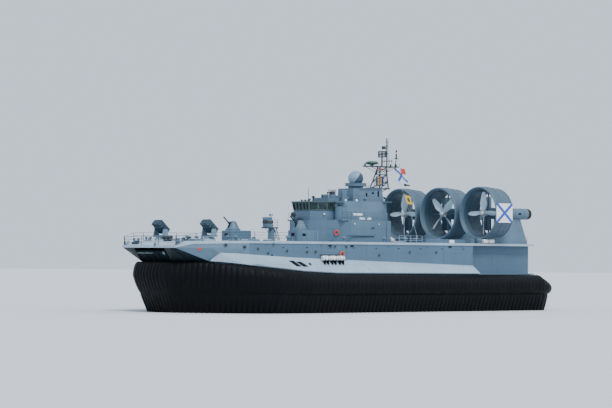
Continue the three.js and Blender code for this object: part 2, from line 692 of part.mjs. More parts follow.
// Rounded side tubs beside the bridge, on their platforms, clear of the bridge and the block behind it
const TUB = { x: 3.85, y: -0.75, radius: 0.75, topZ: 12.9, platformX: [3.0, 5.2], platformY: [-1.7, 0.8] };

function tubs() {
  const wall = upright(TUB.radius, TUB.radius, TIER_TOP_Z - 0.05, TUB.topZ, [TUB.x, TUB.y], 20);
  const platform = box(TUB.platformX, TUB.platformY, [TIER_TOP_Z - 0.05, TIER_TOP_Z + 0.12]);
  const bridgeRoom = raised(bridgeOutline(-SEAT), BRIDGE_LOW_Z - SEAT, BRIDGE_TOP_Z + 1);
  const blockRoom = raised([
    [0, BRIDGE.aftY - SEAT],
    [AFT_BLOCK.low[0][0], BRIDGE.aftY - SEAT],
    [AFT_BLOCK.low[1][0] + SEAT, AFT_BLOCK.low[1][1] - SEAT],
    [AFT_BLOCK.low[2][0] + SEAT, AFT_BLOCK.low[2][1]],
    [0, AFT_BLOCK.low[2][1]],
  ], BRIDGE_LOW_Z - SEAT, BRIDGE_TOP_Z + 1);
  const port = cut(join(wall, platform), bridgeRoom, blockRoom);
  return [port, mirrored(port)];
}

// Radar on its drum above the upper block
const RADAR = { y: 5.15, ballZ: 16.6, ballR: 0.95, drumR: 1.32, baseZ: 15.3, drumZ: 15.62, topZ: 16.0 };

function radarDrum() {
  const at = [0, RADAR.y];
  const stem = upright(0.95, 0.95, RADAR.baseZ - 0.1, RADAR.drumZ + 0.05, at);
  const drum = upright(RADAR.drumR, RADAR.drumR, RADAR.drumZ, RADAR.topZ, at, 32);
  return [stem, drum];
}

function buildRadar() {
  const { y, ballZ, ballR, topZ } = RADAR;
  const ball = new THREE.SphereGeometry(ballR, 28, 18).rotateX(Math.PI / 2).translate(0, y, ballZ);
  const below = box([-ballR, ballR], [y - ballR, y + ballR], [ballZ - 2 * ballR, topZ + SEAT]);
  add('radar_ball', cut(ball, below), FINISH.domePaint);
}

// Lattice mast: three legs from beams behind the upper block up to the yard platform
const MAST = {
  footZ: 15.3,
  headZ: 18.15,
  legR: 0.08,
  braceR: 0.05,
  beamX: 0.84,
  beamY: [6.2, 10.2],
  platform: { x: 0.8, y0: 7.05, y1: 11.9, thickness: 0.12 },
  poleY: 10.45,
  poleR: 0.07,
};
const MAST_LEGS = {
  fore: { foot: [0, 7.55], head: [0, 8.95] },
  port: { foot: [MAST.beamX, 10.0], head: [0.57, 9.83] },
  starboard: { foot: [-MAST.beamX, 10.0], head: [-0.57, 9.83] },
};

const OVAL_ANTENNA = { r: 0.85, squash: 0.3, dishY: 7.9, dishZ: 18.65 };
const ARRAY_ANTENNA = { arrayY: 9.62, half: 0.7, z0: 19.4, z1: 20.22, bar: 0.1 };

function mastPoint(leg, share) {
  const { foot, head } = MAST_LEGS[leg];
  const { footZ, headZ } = MAST;
  return [
    foot[0] + (head[0] - foot[0]) * share,
    foot[1] + (head[1] - foot[1]) * share,
    footZ + SEAT + (headZ - footZ + 0.03) * share,
  ];
}

function buildMast() {
  const { legR, braceR, beamX, beamY, footZ, platform, headZ } = MAST;
  const beamZ = [footZ + SEAT, footZ + 0.16];
  const pieces = Object.keys(MAST_LEGS).map((leg) => rod(mastPoint(leg, 0.01), mastPoint(leg, 1), legR));
  for (const side of ['port', 'starboard']) {
    const x = MAST_LEGS[side].foot[0];
    pieces.push(box([x - 0.1, x + 0.1], beamY, beamZ));
    pieces.push(rod([x, beamY[1] - 0.5, footZ + 0.08], [x, 7.5, 14.25], braceR));
    for (const share of [0.33, 0.66]) {
      pieces.push(rod(mastPoint('fore', share), mastPoint(side, share), braceR));
      pieces.push(rod(mastPoint('fore', share - 0.31), mastPoint(side, share), braceR));
    }
    pieces.push(rod(mastPoint('fore', 0.66), mastPoint(side, 0.97), braceR));
  }
  for (const { foot } of [MAST_LEGS.fore, MAST_LEGS.port]) {
    pieces.push(box([-beamX, beamX], [foot[1] - 0.1, foot[1] + 0.1], beamZ));
  }
  for (const share of [0.33, 0.66]) {
    pieces.push(rod(mastPoint('starboard', share), mastPoint('port', share), braceR));
    pieces.push(rod(mastPoint('starboard', share - 0.31), mastPoint('port', share), braceR));
  }
  const { x, y0, y1, thickness } = platform;
  pieces.push(box([-x, x], [y0, y1], [headZ, headZ + thickness]));
  pieces.push(rod([0, MAST.poleY, headZ], [0, MAST.poleY, MAST_TOP_Z], MAST.poleR));
  pieces.push(rod([-1.05, MAST.poleY, 18.95], [1.05, MAST.poleY, 18.95], 0.05));
  pieces.push(rod([-1.6, MAST.poleY, 19.9], [0.3, MAST.poleY, 19.9], 0.05));
  pieces.push(rod([0, MAST.poleY, 20.6], [0, 9.9, 20.6], 0.05));
  pieces.push(box([-0.2, 0.2], [9.75, 10.1], [20.45, 20.85]));
  pieces.push(rod([0, 11.8, headZ], [0, 12.1, 19.3], 0.05), rod([0, 12.1, 19.25], [0, 12.1, 19.95], 0.1, 10));
  const upperBlock = tapered(UPPER_LOW, UPPER_TOP, 13.6, footZ);
  add('mast', cut(join(...pieces), upperBlock), FINISH.darkPaint);

  const platformTop = headZ + thickness + SEAT;
  const { r, squash, dishY, dishZ } = OVAL_ANTENNA;
  const dish = new THREE.SphereGeometry(r, 24, 10).rotateX(Math.PI / 2).scale(1, 1, squash);
  const stalk = upright(0.2, 0.2, platformTop, dishZ - 0.1, [0, dishY], 12);
  add('oval_antenna', join(dish.translate(0, dishY, dishZ), stalk), FINISH.greenPaint);

  const { arrayY, half, z0, z1, bar } = ARRAY_ANTENNA;
  const rung = (z) => box([-half, half], [arrayY - bar / 2, arrayY + bar / 2], [z, z + bar]);
  const post = (x) => box([x - bar / 2, x + bar / 2], [arrayY - bar / 2, arrayY + bar / 2], [z0, z1]);
  const end = half - bar / 2;
  const frame = [
    upright(bar, bar, platformTop, z0 + bar, [0, arrayY], 10),
    ...[z0, (z0 + z1 - bar) / 2, z1 - bar].map(rung),
    ...[-end, 0, end].map(post),
  ];
  add('array_antenna', join(...frame), FINISH.darkPaint);
}

// Sighting cabin on its column before the bridge, with its ladder aft
const SIGHT = {
  columnY: -8.65,
  floorZ: 10.16,
  floorX: 0.5,
  floorY: [-9.8, -8.0],
  cabinX: 0.45,
  cabinY: [-9.65, -8.9],
  cabinTopZ: 11.45,
  lamp: { x: 0.3, y: -8.98, z: 11.65 },
};
const LADDER = { x: 0.22, topY: -8.05, footY: -7.4, treads: 6 };

function buildSightingCabin() {
  const { columnY, floorZ, floorX, floorY, cabinX, cabinY, cabinTopZ, lamp } = SIGHT;
  const pieces = [
    upright(0.45, 0.38, DECK_Z + SEAT, floorZ, [0, columnY], 16),
    box([-floorX, floorX], floorY, [floorZ - 0.06, floorZ + 0.06]),
    box([-cabinX, cabinX], cabinY, [floorZ, cabinTopZ]),
    upright(0.05, 0.05, cabinTopZ - 0.05, lamp.z + 0.05, [lamp.x, lamp.y], 8),
    box([lamp.x - 0.14, lamp.x + 0.14], [lamp.y - 0.2, lamp.y + 0.2], [lamp.z, lamp.z + 0.22]),
  ];
  const { x, topY, footY, treads } = LADDER;
  const footZ = DECK_Z + 0.05;
  for (const side of [-x, x]) {
    pieces.push(rod([side, topY, floorZ], [side, footY, footZ], 0.045, 6));
  }
  for (let tread = 1; tread <= treads; tread += 1) {
    const share = tread / (treads + 1);
    const [y, z] = [topY + (footY - topY) * share, floorZ + (footZ - floorZ) * share];
    pieces.push(rod([-x, y, z], [x, y, z], 0.035, 6));
  }
  add('sighting_cabin', join(...pieces), FINISH.housePaint);
}

// Gun mounts on their deckhouses
const GUN_HOUSE = [[5.2, -10.3], [5.5, -10.6], [7.3, -10.6], [7.6, -10.3], [7.6, -7.6], [5.2, -7.6]];
const GUN = {
  x: 6.4,
  y: -9.55,
  roofZ: 9.85,
  baseZ: 9.97,
  topZ: 10.95,
  ringR: 0.98,
  footR: 0.88,
  topR: 0.41,
  slotHalf: 0.18,
  pivot: { y: -9.8, z: 10.45 },
  muzzle: { y: -11.0, z: 11.5 },
};

function buildGuns() {
  const { x, y, roofZ, baseZ, topZ, ringR, footR, topR, slotHalf, pivot, muzzle } = GUN;
  const house = raised(GUN_HOUSE, DECK_Z + SEAT, roofZ);
  const ring = upright(ringR, ringR - 0.05, roofZ - 0.01, baseZ, [x, y]);
  addPair('gun_deckhouse', join(house, ring), FINISH.housePaint);

  const body = upright(footR, topR, baseZ + SEAT, topZ, [x, y], 20);
  const [slotFront, slotBack] = [y - footR - 0.1, pivot.y + 0.22];
  const slot = box([x - slotHalf, x + slotHalf], [slotFront, slotBack], [pivot.z - 0.3, topZ + 0.1]);
  addPair('gun_turret', cut(body, slot), FINISH.housePaint);

  const [runY, runZ] = [muzzle.y - pivot.y, muzzle.z - pivot.z];
  const along = (share) => [x, pivot.y + runY * share, pivot.z + runZ * share];
  const barrel = rod(along(0), along(1), 0.085, 10);
  const sleeve = rod(along(-0.06), along(0.4), 0.13, 10);
  const reach = slotHalf - SEAT;
  const pin = rod([x - reach, pivot.y, pivot.z], [x + reach, pivot.y, pivot.z], 0.06, 10);
  addPair('gun_barrels', join(barrel, sleeve, pin), FINISH.darkPaint);
}

// Rocket launchers on the foredeck: tube mouths in rows on the front of each pack
const LAUNCHER = {
  x: 4.7,
  y: -22.05,
  ringZ: 8.72,
  ringR: 0.74,
  forkZ: 9.1,
  pivotZ: 10.15,
  packHalf: 0.75,
  packLength: 1.7,
  packHeight: 0.7,
  armInner: 0.83,
  armOuter: 0.97,
  armFoot: 0.45,
  armHead: 0.18,
  restDegrees: 42,
};
const TUBE = { radius: 0.078, depth: 0.2, pitch: 0.186, rowHeight: 0.2, rows: [7, 8, 7] };

// Bores of the tube mouths in a pack that lies level with its middle at the origin
function tubeMouths() {
  const { radius, depth, pitch, rowHeight, rows } = TUBE;
  const front = -LAUNCHER.packLength / 2;
  return rows.flatMap((count, row) => Array.from({ length: count }, (_, place) => {
    const x = (place - (count - 1) / 2) * pitch;
    const z = (row - (rows.length - 1) / 2) * rowHeight;
    return rod([x, front - 0.1, z], [x, front + depth, z], radius, 8);
  }));
}

function buildLaunchers() {
  const { x, y, ringZ, forkZ, pivotZ, packHalf, packLength, packHeight } = LAUNCHER;
  const { armInner, armOuter, armFoot, armHead } = LAUNCHER;
  const arms = [-1, 1].map((side) => {
    const edges = [x + side * armInner, x + side * armOuter].sort((a, b) => a - b);
    const foot = [[y - armFoot, forkZ - 0.15], [y + armFoot, forkZ - 0.15]];
    const head = [[y + armHead, pivotZ + armHead], [y - armHead, pivotZ + armHead]];
    return across([...foot, ...head], ...edges);
  });
  const bridge = box([x - armOuter, x + armOuter], [y - armFoot, y + armFoot], [forkZ - 0.2, forkZ]);
  const column = upright(0.6, 0.6, ringZ + SEAT, forkZ - 0.1, [x, y]);
  addPair('launcher_fork', join(column, bridge, ...arms), FINISH.darkPaint);

  const reach = armInner - SEAT;
  const pins = rod([-reach, 0, 0], [reach, 0, 0], 0.13, 12);
  const block = new THREE.BoxGeometry(2 * packHalf, packLength, packHeight);
  const pack = join(cut(block, ...tubeMouths()), pins);
  pack.rotateX(-THREE.MathUtils.degToRad(LAUNCHER.restDegrees)).translate(x, y, pivotZ);
  addPair('launcher_box', pack, FINISH.darkPaint);
}

// Lift-fan intakes: slatted coamings on both sides of the deck between the bridge and the ducts
const INTAKE = {
  x0: 6.3,
  x1: 9.3,
  y0: 8.6,
  y1: 15.4,
  height: 0.42,
  rim: 0.2,
  slots: 9,
  pitch: 0.7,
  width: 0.42,
};

function buildIntakes() {
  const { x0, x1, y0, y1, height, rim, slots, pitch, width } = INTAKE;
  const coaming = box([x0, x1], [y0, y1], [DECK_Z + SEAT, DECK_Z + height]);
  const openings = Array.from({ length: slots }, (_, slot) => {
    const y = y0 + 0.35 + slot * pitch;
    return box([x0 + rim, x1 - rim], [y, y + width], [DECK_Z + height * 0.6, DECK_Z + 1]);
  });
  addPair('fan_intake', cut(coaming, ...openings), FINISH.hullPaint);
}

// Propulsion: three ducts side by side
const DUCT_SIDES = 48;
const DRIVES = [
  { name: 'port', x: DUCT_X, bladeTurn: 0 },
  { name: 'middle', x: 0, bladeTurn: 45 },
  { name: 'starboard', x: -DUCT_X, bladeTurn: 0 },
];
const DUCT_PROFILE = [
  [DUCT_INNER_R, DUCT_FRONT_Y + DUCT_LENGTH],
  [DUCT_INNER_R, 20.25],
  [3.0, 19.85],
  [3.1, 19.6],
  [3.22, DUCT_FRONT_Y],
  [3.33, 19.5],
  [DUCT_OUTER_R, 19.66],
  [DUCT_OUTER_R + 0.01, 20.1],
  [3.34, 21.3],
  [3.16, DUCT_FRONT_Y + DUCT_LENGTH],
  [DUCT_INNER_R, DUCT_FRONT_Y + DUCT_LENGTH],
];
const STRUT_Y = 21.4;
const STRUT_R = 0.1;
const SHAFT_FRONT_Y = 20.95;
const RUDDER = {
  offset: 1.6,
  pivotY: 22.2,
  leadY: 21.8,
  trailY: 23.5,
  half: 2.18,
  thickness: 0.2,
  shaftR: 0.07,
};

// Distance from the hub line that a rod of this radius reaches inside the faceted duct
function ductReach(radius, sideways) {
  const wall = DUCT_INNER_R * Math.cos(Math.PI / DUCT_SIDES) - SEAT;
  return Math.sqrt(wall ** 2 - (sideways + radius) ** 2);
}

function ductGeometry() {
  const ring = lathed(DUCT_PROFILE, DUCT_SIDES).translate(0, 0, DUCT_Z);
  const foot = box([-1.1, 1.1], [20.0, 22.4], [DECK_Z + SEAT, DECK_Z + 1.2]);
  const bore = lathed([[0, 19], [3.1, 19], [3.1, 23], [0, 23]], DUCT_SIDES).translate(0, 0, DUCT_Z);
  return join(ring, cut(foot, bore));
}

function pylonGeometry() {
  const nacelle = lathed([
    [0, 21.0],
    [0.42, 21.0],
    [0.62, 21.35],
    [NACELLE_R, 22.0],
    [NACELLE_R, 28.2],
    [0.65, NACELLE_END_Y],
    [0.56, NACELLE_END_Y],
    [0.56, 27.8],
    [0, 27.8],
  ], 24).translate(0, 0, DUCT_Z);
  const low = [[-0.55, 22.8], [0.55, 22.8], [0.7, 25.0], [0.25, 28.3], [-0.25, 28.3], [-0.7, 25.0]];
  const high = [[-0.4, 22.8], [0.4, 22.8], [0.45, 24.5], [0.15, 26.95], [-0.15, 26.95], [-0.45, 24.5]];
  const fin = tapered(low, high, DECK_Z + SEAT, DUCT_Z - 0.4);
  const reach = ductReach(STRUT_R, 0);
  const struts = [0, 90, 180, 270].map((degrees) => {
    const turn = THREE.MathUtils.degToRad(degrees);
    const [x, z] = [Math.cos(turn), Math.sin(turn)];
    return rod([x * 0.4, STRUT_Y, DUCT_Z + z * 0.4], [x * reach, STRUT_Y, DUCT_Z + z * reach], STRUT_R, 10);
  });
  return join(nacelle, fin, ...struts);
}

// Blade sections from root to tip
const BLADE = [
  { r: 0.3, chord: 0.42, thickness: 0.16, pitch: 62 },
  { r: 0.9, chord: 0.86, thickness: 0.12, pitch: 50 },
  { r: 1.6, chord: 0.88, thickness: 0.08, pitch: 36 },
  { r: 2.3, chord: 0.6, thickness: 0.05, pitch: 28 },
  { r: PROPELLER_R, chord: 0.3, thickness: 0.03, pitch: 25 },
];

function bladeGeometry() {
  const outline = [[-0.5, 0], [-0.25, 0.5], [0.2, 0.5], [0.5, 0], [0.2, -0.5], [-0.25, -0.5]];
  const rings = BLADE.map(({ r, chord, thickness, pitch }) => {
    const turn = THREE.MathUtils.degToRad(pitch);
    return outline.map(([u, v]) => {
      const [along, over] = [u * chord, v * thickness];
      const x = along * Math.cos(turn) - over * Math.sin(turn);
      const y = along * Math.sin(turn) + over * Math.cos(turn);
      return [x, y, r];
    });
  });
  return loft(rings, outline);
}

function propellerGeometry(bladeTurn) {
  const spinner = lathed([
    [0, 19.95],
    [0.16, 20.0],
    [0.32, 20.15],
    [0.4, 20.38],
    [0.41, 20.85],
    [0.2, SHAFT_FRONT_Y],
    [0.2, 21.0 - SEAT],
    [0, 21.0 - SEAT],
  ], 20);
  const blades = [0, 90, 180, 270].map((degrees) => (
    bladeGeometry().rotateY(THREE.MathUtils.degToRad(degrees + bladeTurn)).translate(0, PROPELLER_Y, 0)));
  return join(spinner, ...blades).translate(0, 0, DUCT_Z);
}

function rudderGeometry(side) {
  const { offset, pivotY, leadY, trailY, half, thickness, shaftR } = RUDDER;
  const x = side * offset;
  const plan = [
    [x, leadY],
    [x + thickness / 2, pivotY],
    [x + 0.02, trailY],
    [x - 0.02, trailY],
    [x - thickness / 2, pivotY],
  ];
  const blade = raised(plan, DUCT_Z - half, DUCT_Z + half);
  const reach = ductReach(shaftR, offset);
  return join(blade, rod([x, pivotY, DUCT_Z - reach], [x, pivotY, DUCT_Z + reach], shaftR, 8));
}

function buildDrives() {
  for (const { name, x, bladeTurn } of DRIVES) {
    add(`duct_${name}`, ductGeometry().translate(x, 0, 0), FINISH.housePaint);
    add(`pylon_${name}`, pylonGeometry().translate(x, 0, 0), FINISH.housePaint);
    add(`propeller_${name}`, propellerGeometry(bladeTurn).translate(x, 0, 0), FINISH.bladePaint);
    add(`rudder_${name}_left`, rudderGeometry(1).translate(x, 0, 0), FINISH.housePaint);
    add(`rudder_${name}_right`, rudderGeometry(-1).translate(x, 0, 0), FINISH.housePaint);
  }
}

buildPontoon();
buildHullSides();
buildBowCheeks();
buildDecks();
buildShields();
buildRamps();
buildSkirts();
buildDividers();
buildSuperstructure();
buildRadar();
buildMast();
buildSightingCabin();
buildGuns();
buildLaunchers();
buildIntakes();
buildDrives();

export default craft;
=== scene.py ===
"""Looks of the landing hovercraft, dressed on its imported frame.

Sizes are metres of the real craft, with +X to port, +Y aft and +Z up from the floor. Stations
along Y are counted from a datum a little forward of the middle. MIDDLE and MODEL_SCALE bring them
to the half-size model, whose origin is below the middle of the craft.
"""

import logging
import math
from dataclasses import dataclass, field
from enum import Enum

import bpy
import numpy as np
from mathutils import Matrix, Vector


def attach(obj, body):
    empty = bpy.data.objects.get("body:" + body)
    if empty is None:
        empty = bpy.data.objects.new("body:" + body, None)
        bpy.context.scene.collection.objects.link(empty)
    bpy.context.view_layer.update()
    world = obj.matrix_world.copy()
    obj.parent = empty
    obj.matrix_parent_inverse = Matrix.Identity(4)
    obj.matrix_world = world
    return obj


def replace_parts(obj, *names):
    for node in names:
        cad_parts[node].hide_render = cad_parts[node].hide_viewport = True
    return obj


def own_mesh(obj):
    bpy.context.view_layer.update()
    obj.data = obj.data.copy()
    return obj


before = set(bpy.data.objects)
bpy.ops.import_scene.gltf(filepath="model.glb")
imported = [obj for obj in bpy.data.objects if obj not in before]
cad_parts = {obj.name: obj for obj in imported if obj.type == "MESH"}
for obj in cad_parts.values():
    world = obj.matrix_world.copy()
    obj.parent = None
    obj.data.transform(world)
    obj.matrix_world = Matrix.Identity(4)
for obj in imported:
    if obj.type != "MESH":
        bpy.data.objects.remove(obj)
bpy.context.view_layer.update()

MODEL_SCALE = 0.5
MIDDLE = (0.0, 1.05, 0.0)
SHARP_DEGREES = 32
SIDES = ("port", "starboard")
UP, AFT, AHEAD, PORTWARD = (0, 0, 1), (0, 1, 0), (0, -1, 0), (1, 0, 0)
ORIGIN = (0, 0, 0)
Array = np.ndarray
Socket = bpy.types.NodeSocket
log = logging.getLogger("hovercraft")


# Shapes worked out with numpy


@dataclass
class Shape:
    """A surface being made: corner points, and blocks of faces given by corner numbers."""

    points: Array
    faces: list[Array]

    def moved(self, offset: tuple[float, float, float]) -> "Shape":
        """Return the shape shifted by an offset."""
        return Shape(self.points + np.asarray(offset, float), self.faces)

    def turned(self, axis: Array, degrees: float, about: tuple[float, float, float]) -> "Shape":
        """Return the shape turned about a line.

        Args:
            axis: Direction of the line.
            degrees: Turn, right-handed about the axis.
            about: A point on the line.

        Returns:
            The turned copy: each point is about + R (point - about).
        """
        turn = np.array(Matrix.Rotation(math.radians(degrees), 3, Vector(axis)))
        centre = np.asarray(about, float)
        return Shape((self.points - centre) @ turn.T + centre, self.faces)

    def mirrored(self) -> "Shape":
        """Return the shape on the other side of the middle plane, its faces still outwards."""
        return Shape(self.points * np.array([-1.0, 1.0, 1.0]), [rows[:, ::-1] for rows in self.faces])

    def outward(self) -> "Shape":
        """Return the closed shape with its faces outwards: they turn round if its volume is negative."""
        volume = 0.0
        for rows in self.faces:
            corners = self.points[rows]
            area = np.cross(corners, np.roll(corners, -1, axis=1)).sum(axis=1)
            volume += float((corners[:, 0] * area).sum())
        return self if volume > 0 else Shape(self.points, [rows[:, ::-1] for rows in self.faces])


def together(*shapes: Shape) -> Shape:
    """Return several shapes as one, their corner numbers shifted along."""
    starts = np.cumsum([0] + [len(shape.points) for shape in shapes[:-1]])
    points = np.concatenate([shape.points for shape in shapes])
    faces = [rows + start for shape, start in zip(shapes, starts) for rows in shape.faces]
    return Shape(points, faces)


def both_sides(shape: Shape) -> Shape:
    """Return a port shape together with its starboard mirror image."""
    return together(shape, shape.mirrored())


def grid(points: Array, round_rows: bool = False, round_columns: bool = False) -> Shape:
    """Skin a grid of points.

    Args:
        points: Rows by columns by three coordinates.
        round_rows: Whether the last row joins the first.
        round_columns: Whether the last column joins the first.

    Returns:
        One four-cornered face between each point and its next row and column.
    """
    rows, columns = points.shape[:2]
    number = np.arange(rows * columns).reshape(rows, columns)
    if round_rows:
        number = np.vstack([number, number[:1]])
    if round_columns:
        number = np.hstack([number, number[:, :1]])
    corners = [number[:-1, :-1], number[:-1, 1:], number[1:, 1:], number[1:, :-1]]
    return Shape(points.reshape(-1, 3), [np.stack(corners, axis=-1).reshape(-1, 4)])


def skinned(rings: Array) -> Shape:
    """Close a body through rings of points, ring by corner by three, its two ends filled."""
    body = grid(rings, round_columns=True)
    first = np.arange(rings.shape[1])[None, :]
    last = first + (len(rings) - 1) * rings.shape[1]
    return Shape(body.points, body.faces + [first[:, ::-1], last]).outward()


def unit(vectors: Array) -> Array:
    """Return vectors at length one."""
    return vectors / np.linalg.norm(vectors, axis=-1, keepdims=True)


def cross_frame(along: Array) -> tuple[Array, Array]:
    """Return two unit directions square to each given unit direction and to each other."""
    helper = np.where(np.abs(along[..., 2:3]) < 0.9, [0.0, 0.0, 1.0], [1.0, 0.0, 0.0])
    side = unit(np.cross(helper, along))
    return side, np.cross(along, side)


def ring_angles(sides: int) -> Array:
    """Return the angles of evenly spaced corners round a circle."""
    return np.arange(sides) * 2 * math.pi / sides


def rods(starts: Array, ends: Array, radius: float | Array, sides: int = 8) -> Shape:
    """Make straight closed rods.

    Args:
        starts: Start points, one row a rod.
        ends: End points, one row a rod.
        radius: One radius for all, or one for each rod.
        sides: Corners round a rod.

    Returns:
        Rods with corners at point + radius (side cos a + up sin a) round both ends.
    """
    starts, ends = np.atleast_2d(np.asarray(starts, float)), np.atleast_2d(np.asarray(ends, float))
    side, up = cross_frame(unit(ends - starts))
    angle = ring_angles(sides)[None, :, None]
    reach = np.broadcast_to(np.asarray(radius, float), len(starts))[:, None, None]
    ring = (side[:, None] * np.cos(angle) + up[:, None] * np.sin(angle)) * reach
    points = np.concatenate([starts[:, None] + ring, ends[:, None] + ring], axis=1)
    corner = np.arange(sides)
    after = (corner + 1) % sides
    wall = np.stack([corner, after, after + sides, corner + sides], axis=-1)
    shift = np.arange(len(starts))[:, None, None] * 2 * sides
    faces = [
        (wall[None] + shift).reshape(-1, 4),
        (corner[::-1][None, None] + shift).reshape(-1, sides),
        (corner[None, None] + sides + shift).reshape(-1, sides),
    ]
    return Shape(points.reshape(-1, 3), faces).outward()


def pipe(path: Array, radius: float | Array, sides: int = 8) -> Shape:
    """Carry a circle along a path of points, with one radius or one for each point."""
    path = np.asarray(path, float)
    along = unit(np.gradient(path, axis=0))
    side, up = cross_frame(along)
    angle = ring_angles(sides)[None, :, None]
    reach = np.broadcast_to(np.asarray(radius, float), len(path))[:, None, None]
    return skinned(path[:, None] + (side[:, None] * np.cos(angle) + up[:, None] * np.sin(angle)) * reach)


def hoop(
    centre: Array, normal: Array, ring_radius: float, rod_radius: float, sides: int = 8, turns: int = 32
) -> Shape:
    """Make a ring: a circle of rod_radius carried round a circle of ring_radius square to the normal."""
    side, up = cross_frame(unit(np.asarray(normal, float))[None])
    turn = ring_angles(turns)[:, None]
    outward = side * np.cos(turn) + up * np.sin(turn)
    angle = ring_angles(sides)[None, :, None]
    spread = outward[:, None] * (ring_radius + rod_radius * np.cos(angle))
    rise = unit(np.asarray(normal, float)) * rod_radius * np.sin(angle)
    return grid(np.asarray(centre, float) + spread + rise, round_rows=True, round_columns=True).outward()


def lathed(profile: Array, centre: Array, axis: Array, sides: int = 32, closed: bool = False) -> Shape:
    """Turn a profile round an axis.

    Args:
        profile: Rows of radius and distance along the axis.
        centre: The axis's zero point.
        axis: Direction of the axis.
        sides: Corners round the turn.
        closed: Whether the profile is a loop; otherwise its ends are filled.

    Returns:
        Points at centre + axis distance + radius (side cos a + up sin a).
    """
    profile = np.asarray(profile, float)
    direction = unit(np.asarray(axis, float))
    side, up = cross_frame(direction[None])
    angle = ring_angles(sides)[None, :, None]
    radius = np.maximum(profile[:, 0], 0.0005)[:, None, None]
    ring = (side * np.cos(angle) + up * np.sin(angle)) * radius
    rings = np.asarray(centre, float) + direction * profile[:, 1][:, None, None] + ring
    return grid(rings, round_rows=True, round_columns=True).outward() if closed else skinned(rings)


CORNER_SIGNS = np.array([[x, y, z] for x in (-1, 1) for y in (-1, 1) for z in (-1, 1)])
POINT_SIGNS = np.repeat(CORNER_SIGNS, 3, axis=0)
POINT_AXES = np.tile(np.eye(3), (8, 1))


def chamfered_faces() -> list[Array]:
    """Return the faces of a box with cut edges.

    Returns:
        Blocks of faces, by corners. Corner c has one point on each of its sides, number 3c + axis.
    """
    points = POINT_SIGNS * 0.8 + POINT_AXES * POINT_SIGNS * 0.2
    number = {tuple(sign): index for index, sign in enumerate(CORNER_SIGNS.tolist())}
    faces: list[list[int]] = []
    for axis in range(3):
        first, second = [other for other in range(3) if other != axis]
        for end in (-1, 1):
            loop = []
            for a, b in ((-1, -1), (1, -1), (1, 1), (-1, 1)):
                sign = [0, 0, 0]
                sign[axis], sign[first], sign[second] = end, a, b
                loop.append(3 * number[tuple(sign)] + axis)
            faces.append(loop)
        for a, b in ((-1, -1), (1, -1), (1, 1), (-1, 1)):
            low, high = [0, 0, 0], [0, 0, 0]
            low[axis], high[axis] = -1, 1
            low[first] = high[first] = a
            low[second] = high[second] = b
            start, stop = 3 * number[tuple(low)], 3 * number[tuple(high)]
            faces.append([start + first, stop + first, stop + second, start + second])
    faces += [[3 * corner, 3 * corner + 1, 3 * corner + 2] for corner in range(8)]
    for face in faces:
        corners = points[face]
        area = np.cross(corners, np.roll(corners, -1, axis=0)).sum(axis=0)
        if area @ corners.mean(axis=0) < 0:
            face.reverse()
    return [np.array([face for face in faces if len(face) == size]) for size in (4, 3)]


BOX_FACES = chamfered_faces()


def blocks(low: Array, high: Array, chamfer: float = 0.02) -> Shape:
    """Make boxes with cut edges.

    Args:
        low: Lowest corners, one row a box.
        high: Highest corners, one row a box.
        chamfer: Width of the cut edges.

    Returns:
        Boxes whose corner points are middle + sign (half - cut) + sign cut along one axis.
    """
    low, high = np.atleast_2d(np.asarray(low, float)), np.atleast_2d(np.asarray(high, float))
    half = (high - low) / 2
    cut = np.minimum(chamfer, half.min(axis=1) * 0.6)[:, None, None]
    points = (low + high)[:, None] / 2 + POINT_SIGNS * (half[:, None] - cut) + POINT_SIGNS * POINT_AXES * cut
    shift = np.arange(len(low))[:, None, None] * len(POINT_SIGNS)
    faces = [(rows[None] + shift).reshape(-1, rows.shape[1]) for rows in BOX_FACES]
    return Shape(points.reshape(-1, 3), faces)


def equal_blocks(low: Array, size: Array, chamfer: float = 0.02) -> Shape:
    """Make boxes of one size from their lowest corners."""
    low = np.asarray(low, float)
    return blocks(low, low + np.asarray(size, float), chamfer)


def studs(feet: Array, offset: Array, radius: float, sides: int = 6) -> Shape:
    """Make equal rods that all run by one offset from their feet."""
    feet = np.asarray(feet, float)
    return rods(feet, feet + np.asarray(offset, float), radius, sides)


def slab(outline: Array, depth: float, origin: Array, right: Array, up: Array, bevel: float = 0.015) -> Shape:
    """Raise a flat outline from a surface.

    Args:
        outline: Rows of distance right and up of the origin.
        depth: Height above the surface, whose outward side is right x up.
        origin: The outline's zero point on the surface.
        right: Direction of the outline's first distance.
        up: Direction of the outline's second distance.
        bevel: Width of the slope round the raised face.

    Returns:
        A closed body through the outline at the surface, below the slope and, drawn in, on top.
    """
    outline = np.asarray(outline, float)
    right, up = unit(np.asarray(right, float)), unit(np.asarray(up, float))
    normal = np.cross(right, up)
    middle = outline.mean(axis=0)
    reach = np.abs(outline - middle).max(axis=0)
    inner = middle + (outline - middle) * (1 - min(bevel, *(reach * 0.6)) / reach)
    flat = [outline, outline, inner]
    heights = [-0.01, max(depth - bevel, 0.001), depth]
    rings = [
        np.asarray(origin, float) + row[:, :1] * right + row[:, 1:] * up + normal * height
        for row, height in zip(flat, heights)
    ]
    return skinned(np.stack(rings))


def rounded(width: float, height: float, radius: float, steps: int = 5) -> Array:
    """Return a rounded rectangle's outline about its middle, one quarter turn at each corner."""
    turn = np.linspace(0, math.pi / 2, steps)
    corners = [(1, 1, 0), (-1, 1, 1), (-1, -1, 2), (1, -1, 3)]
    rows = []
    for sign_x, sign_y, quarter in corners:
        angle = turn + quarter * math.pi / 2
        centre = [sign_x * (width / 2 - radius), sign_y * (height / 2 - radius)]
        rows.append(np.stack([np.cos(angle), np.sin(angle)], axis=-1) * radius + centre)
    return np.concatenate(rows)


def between(start: tuple, end: tuple, count: int) -> Array:
    """Return evenly spaced points from start to end."""
    return np.linspace(np.asarray(start, float), np.asarray(end, float), count)


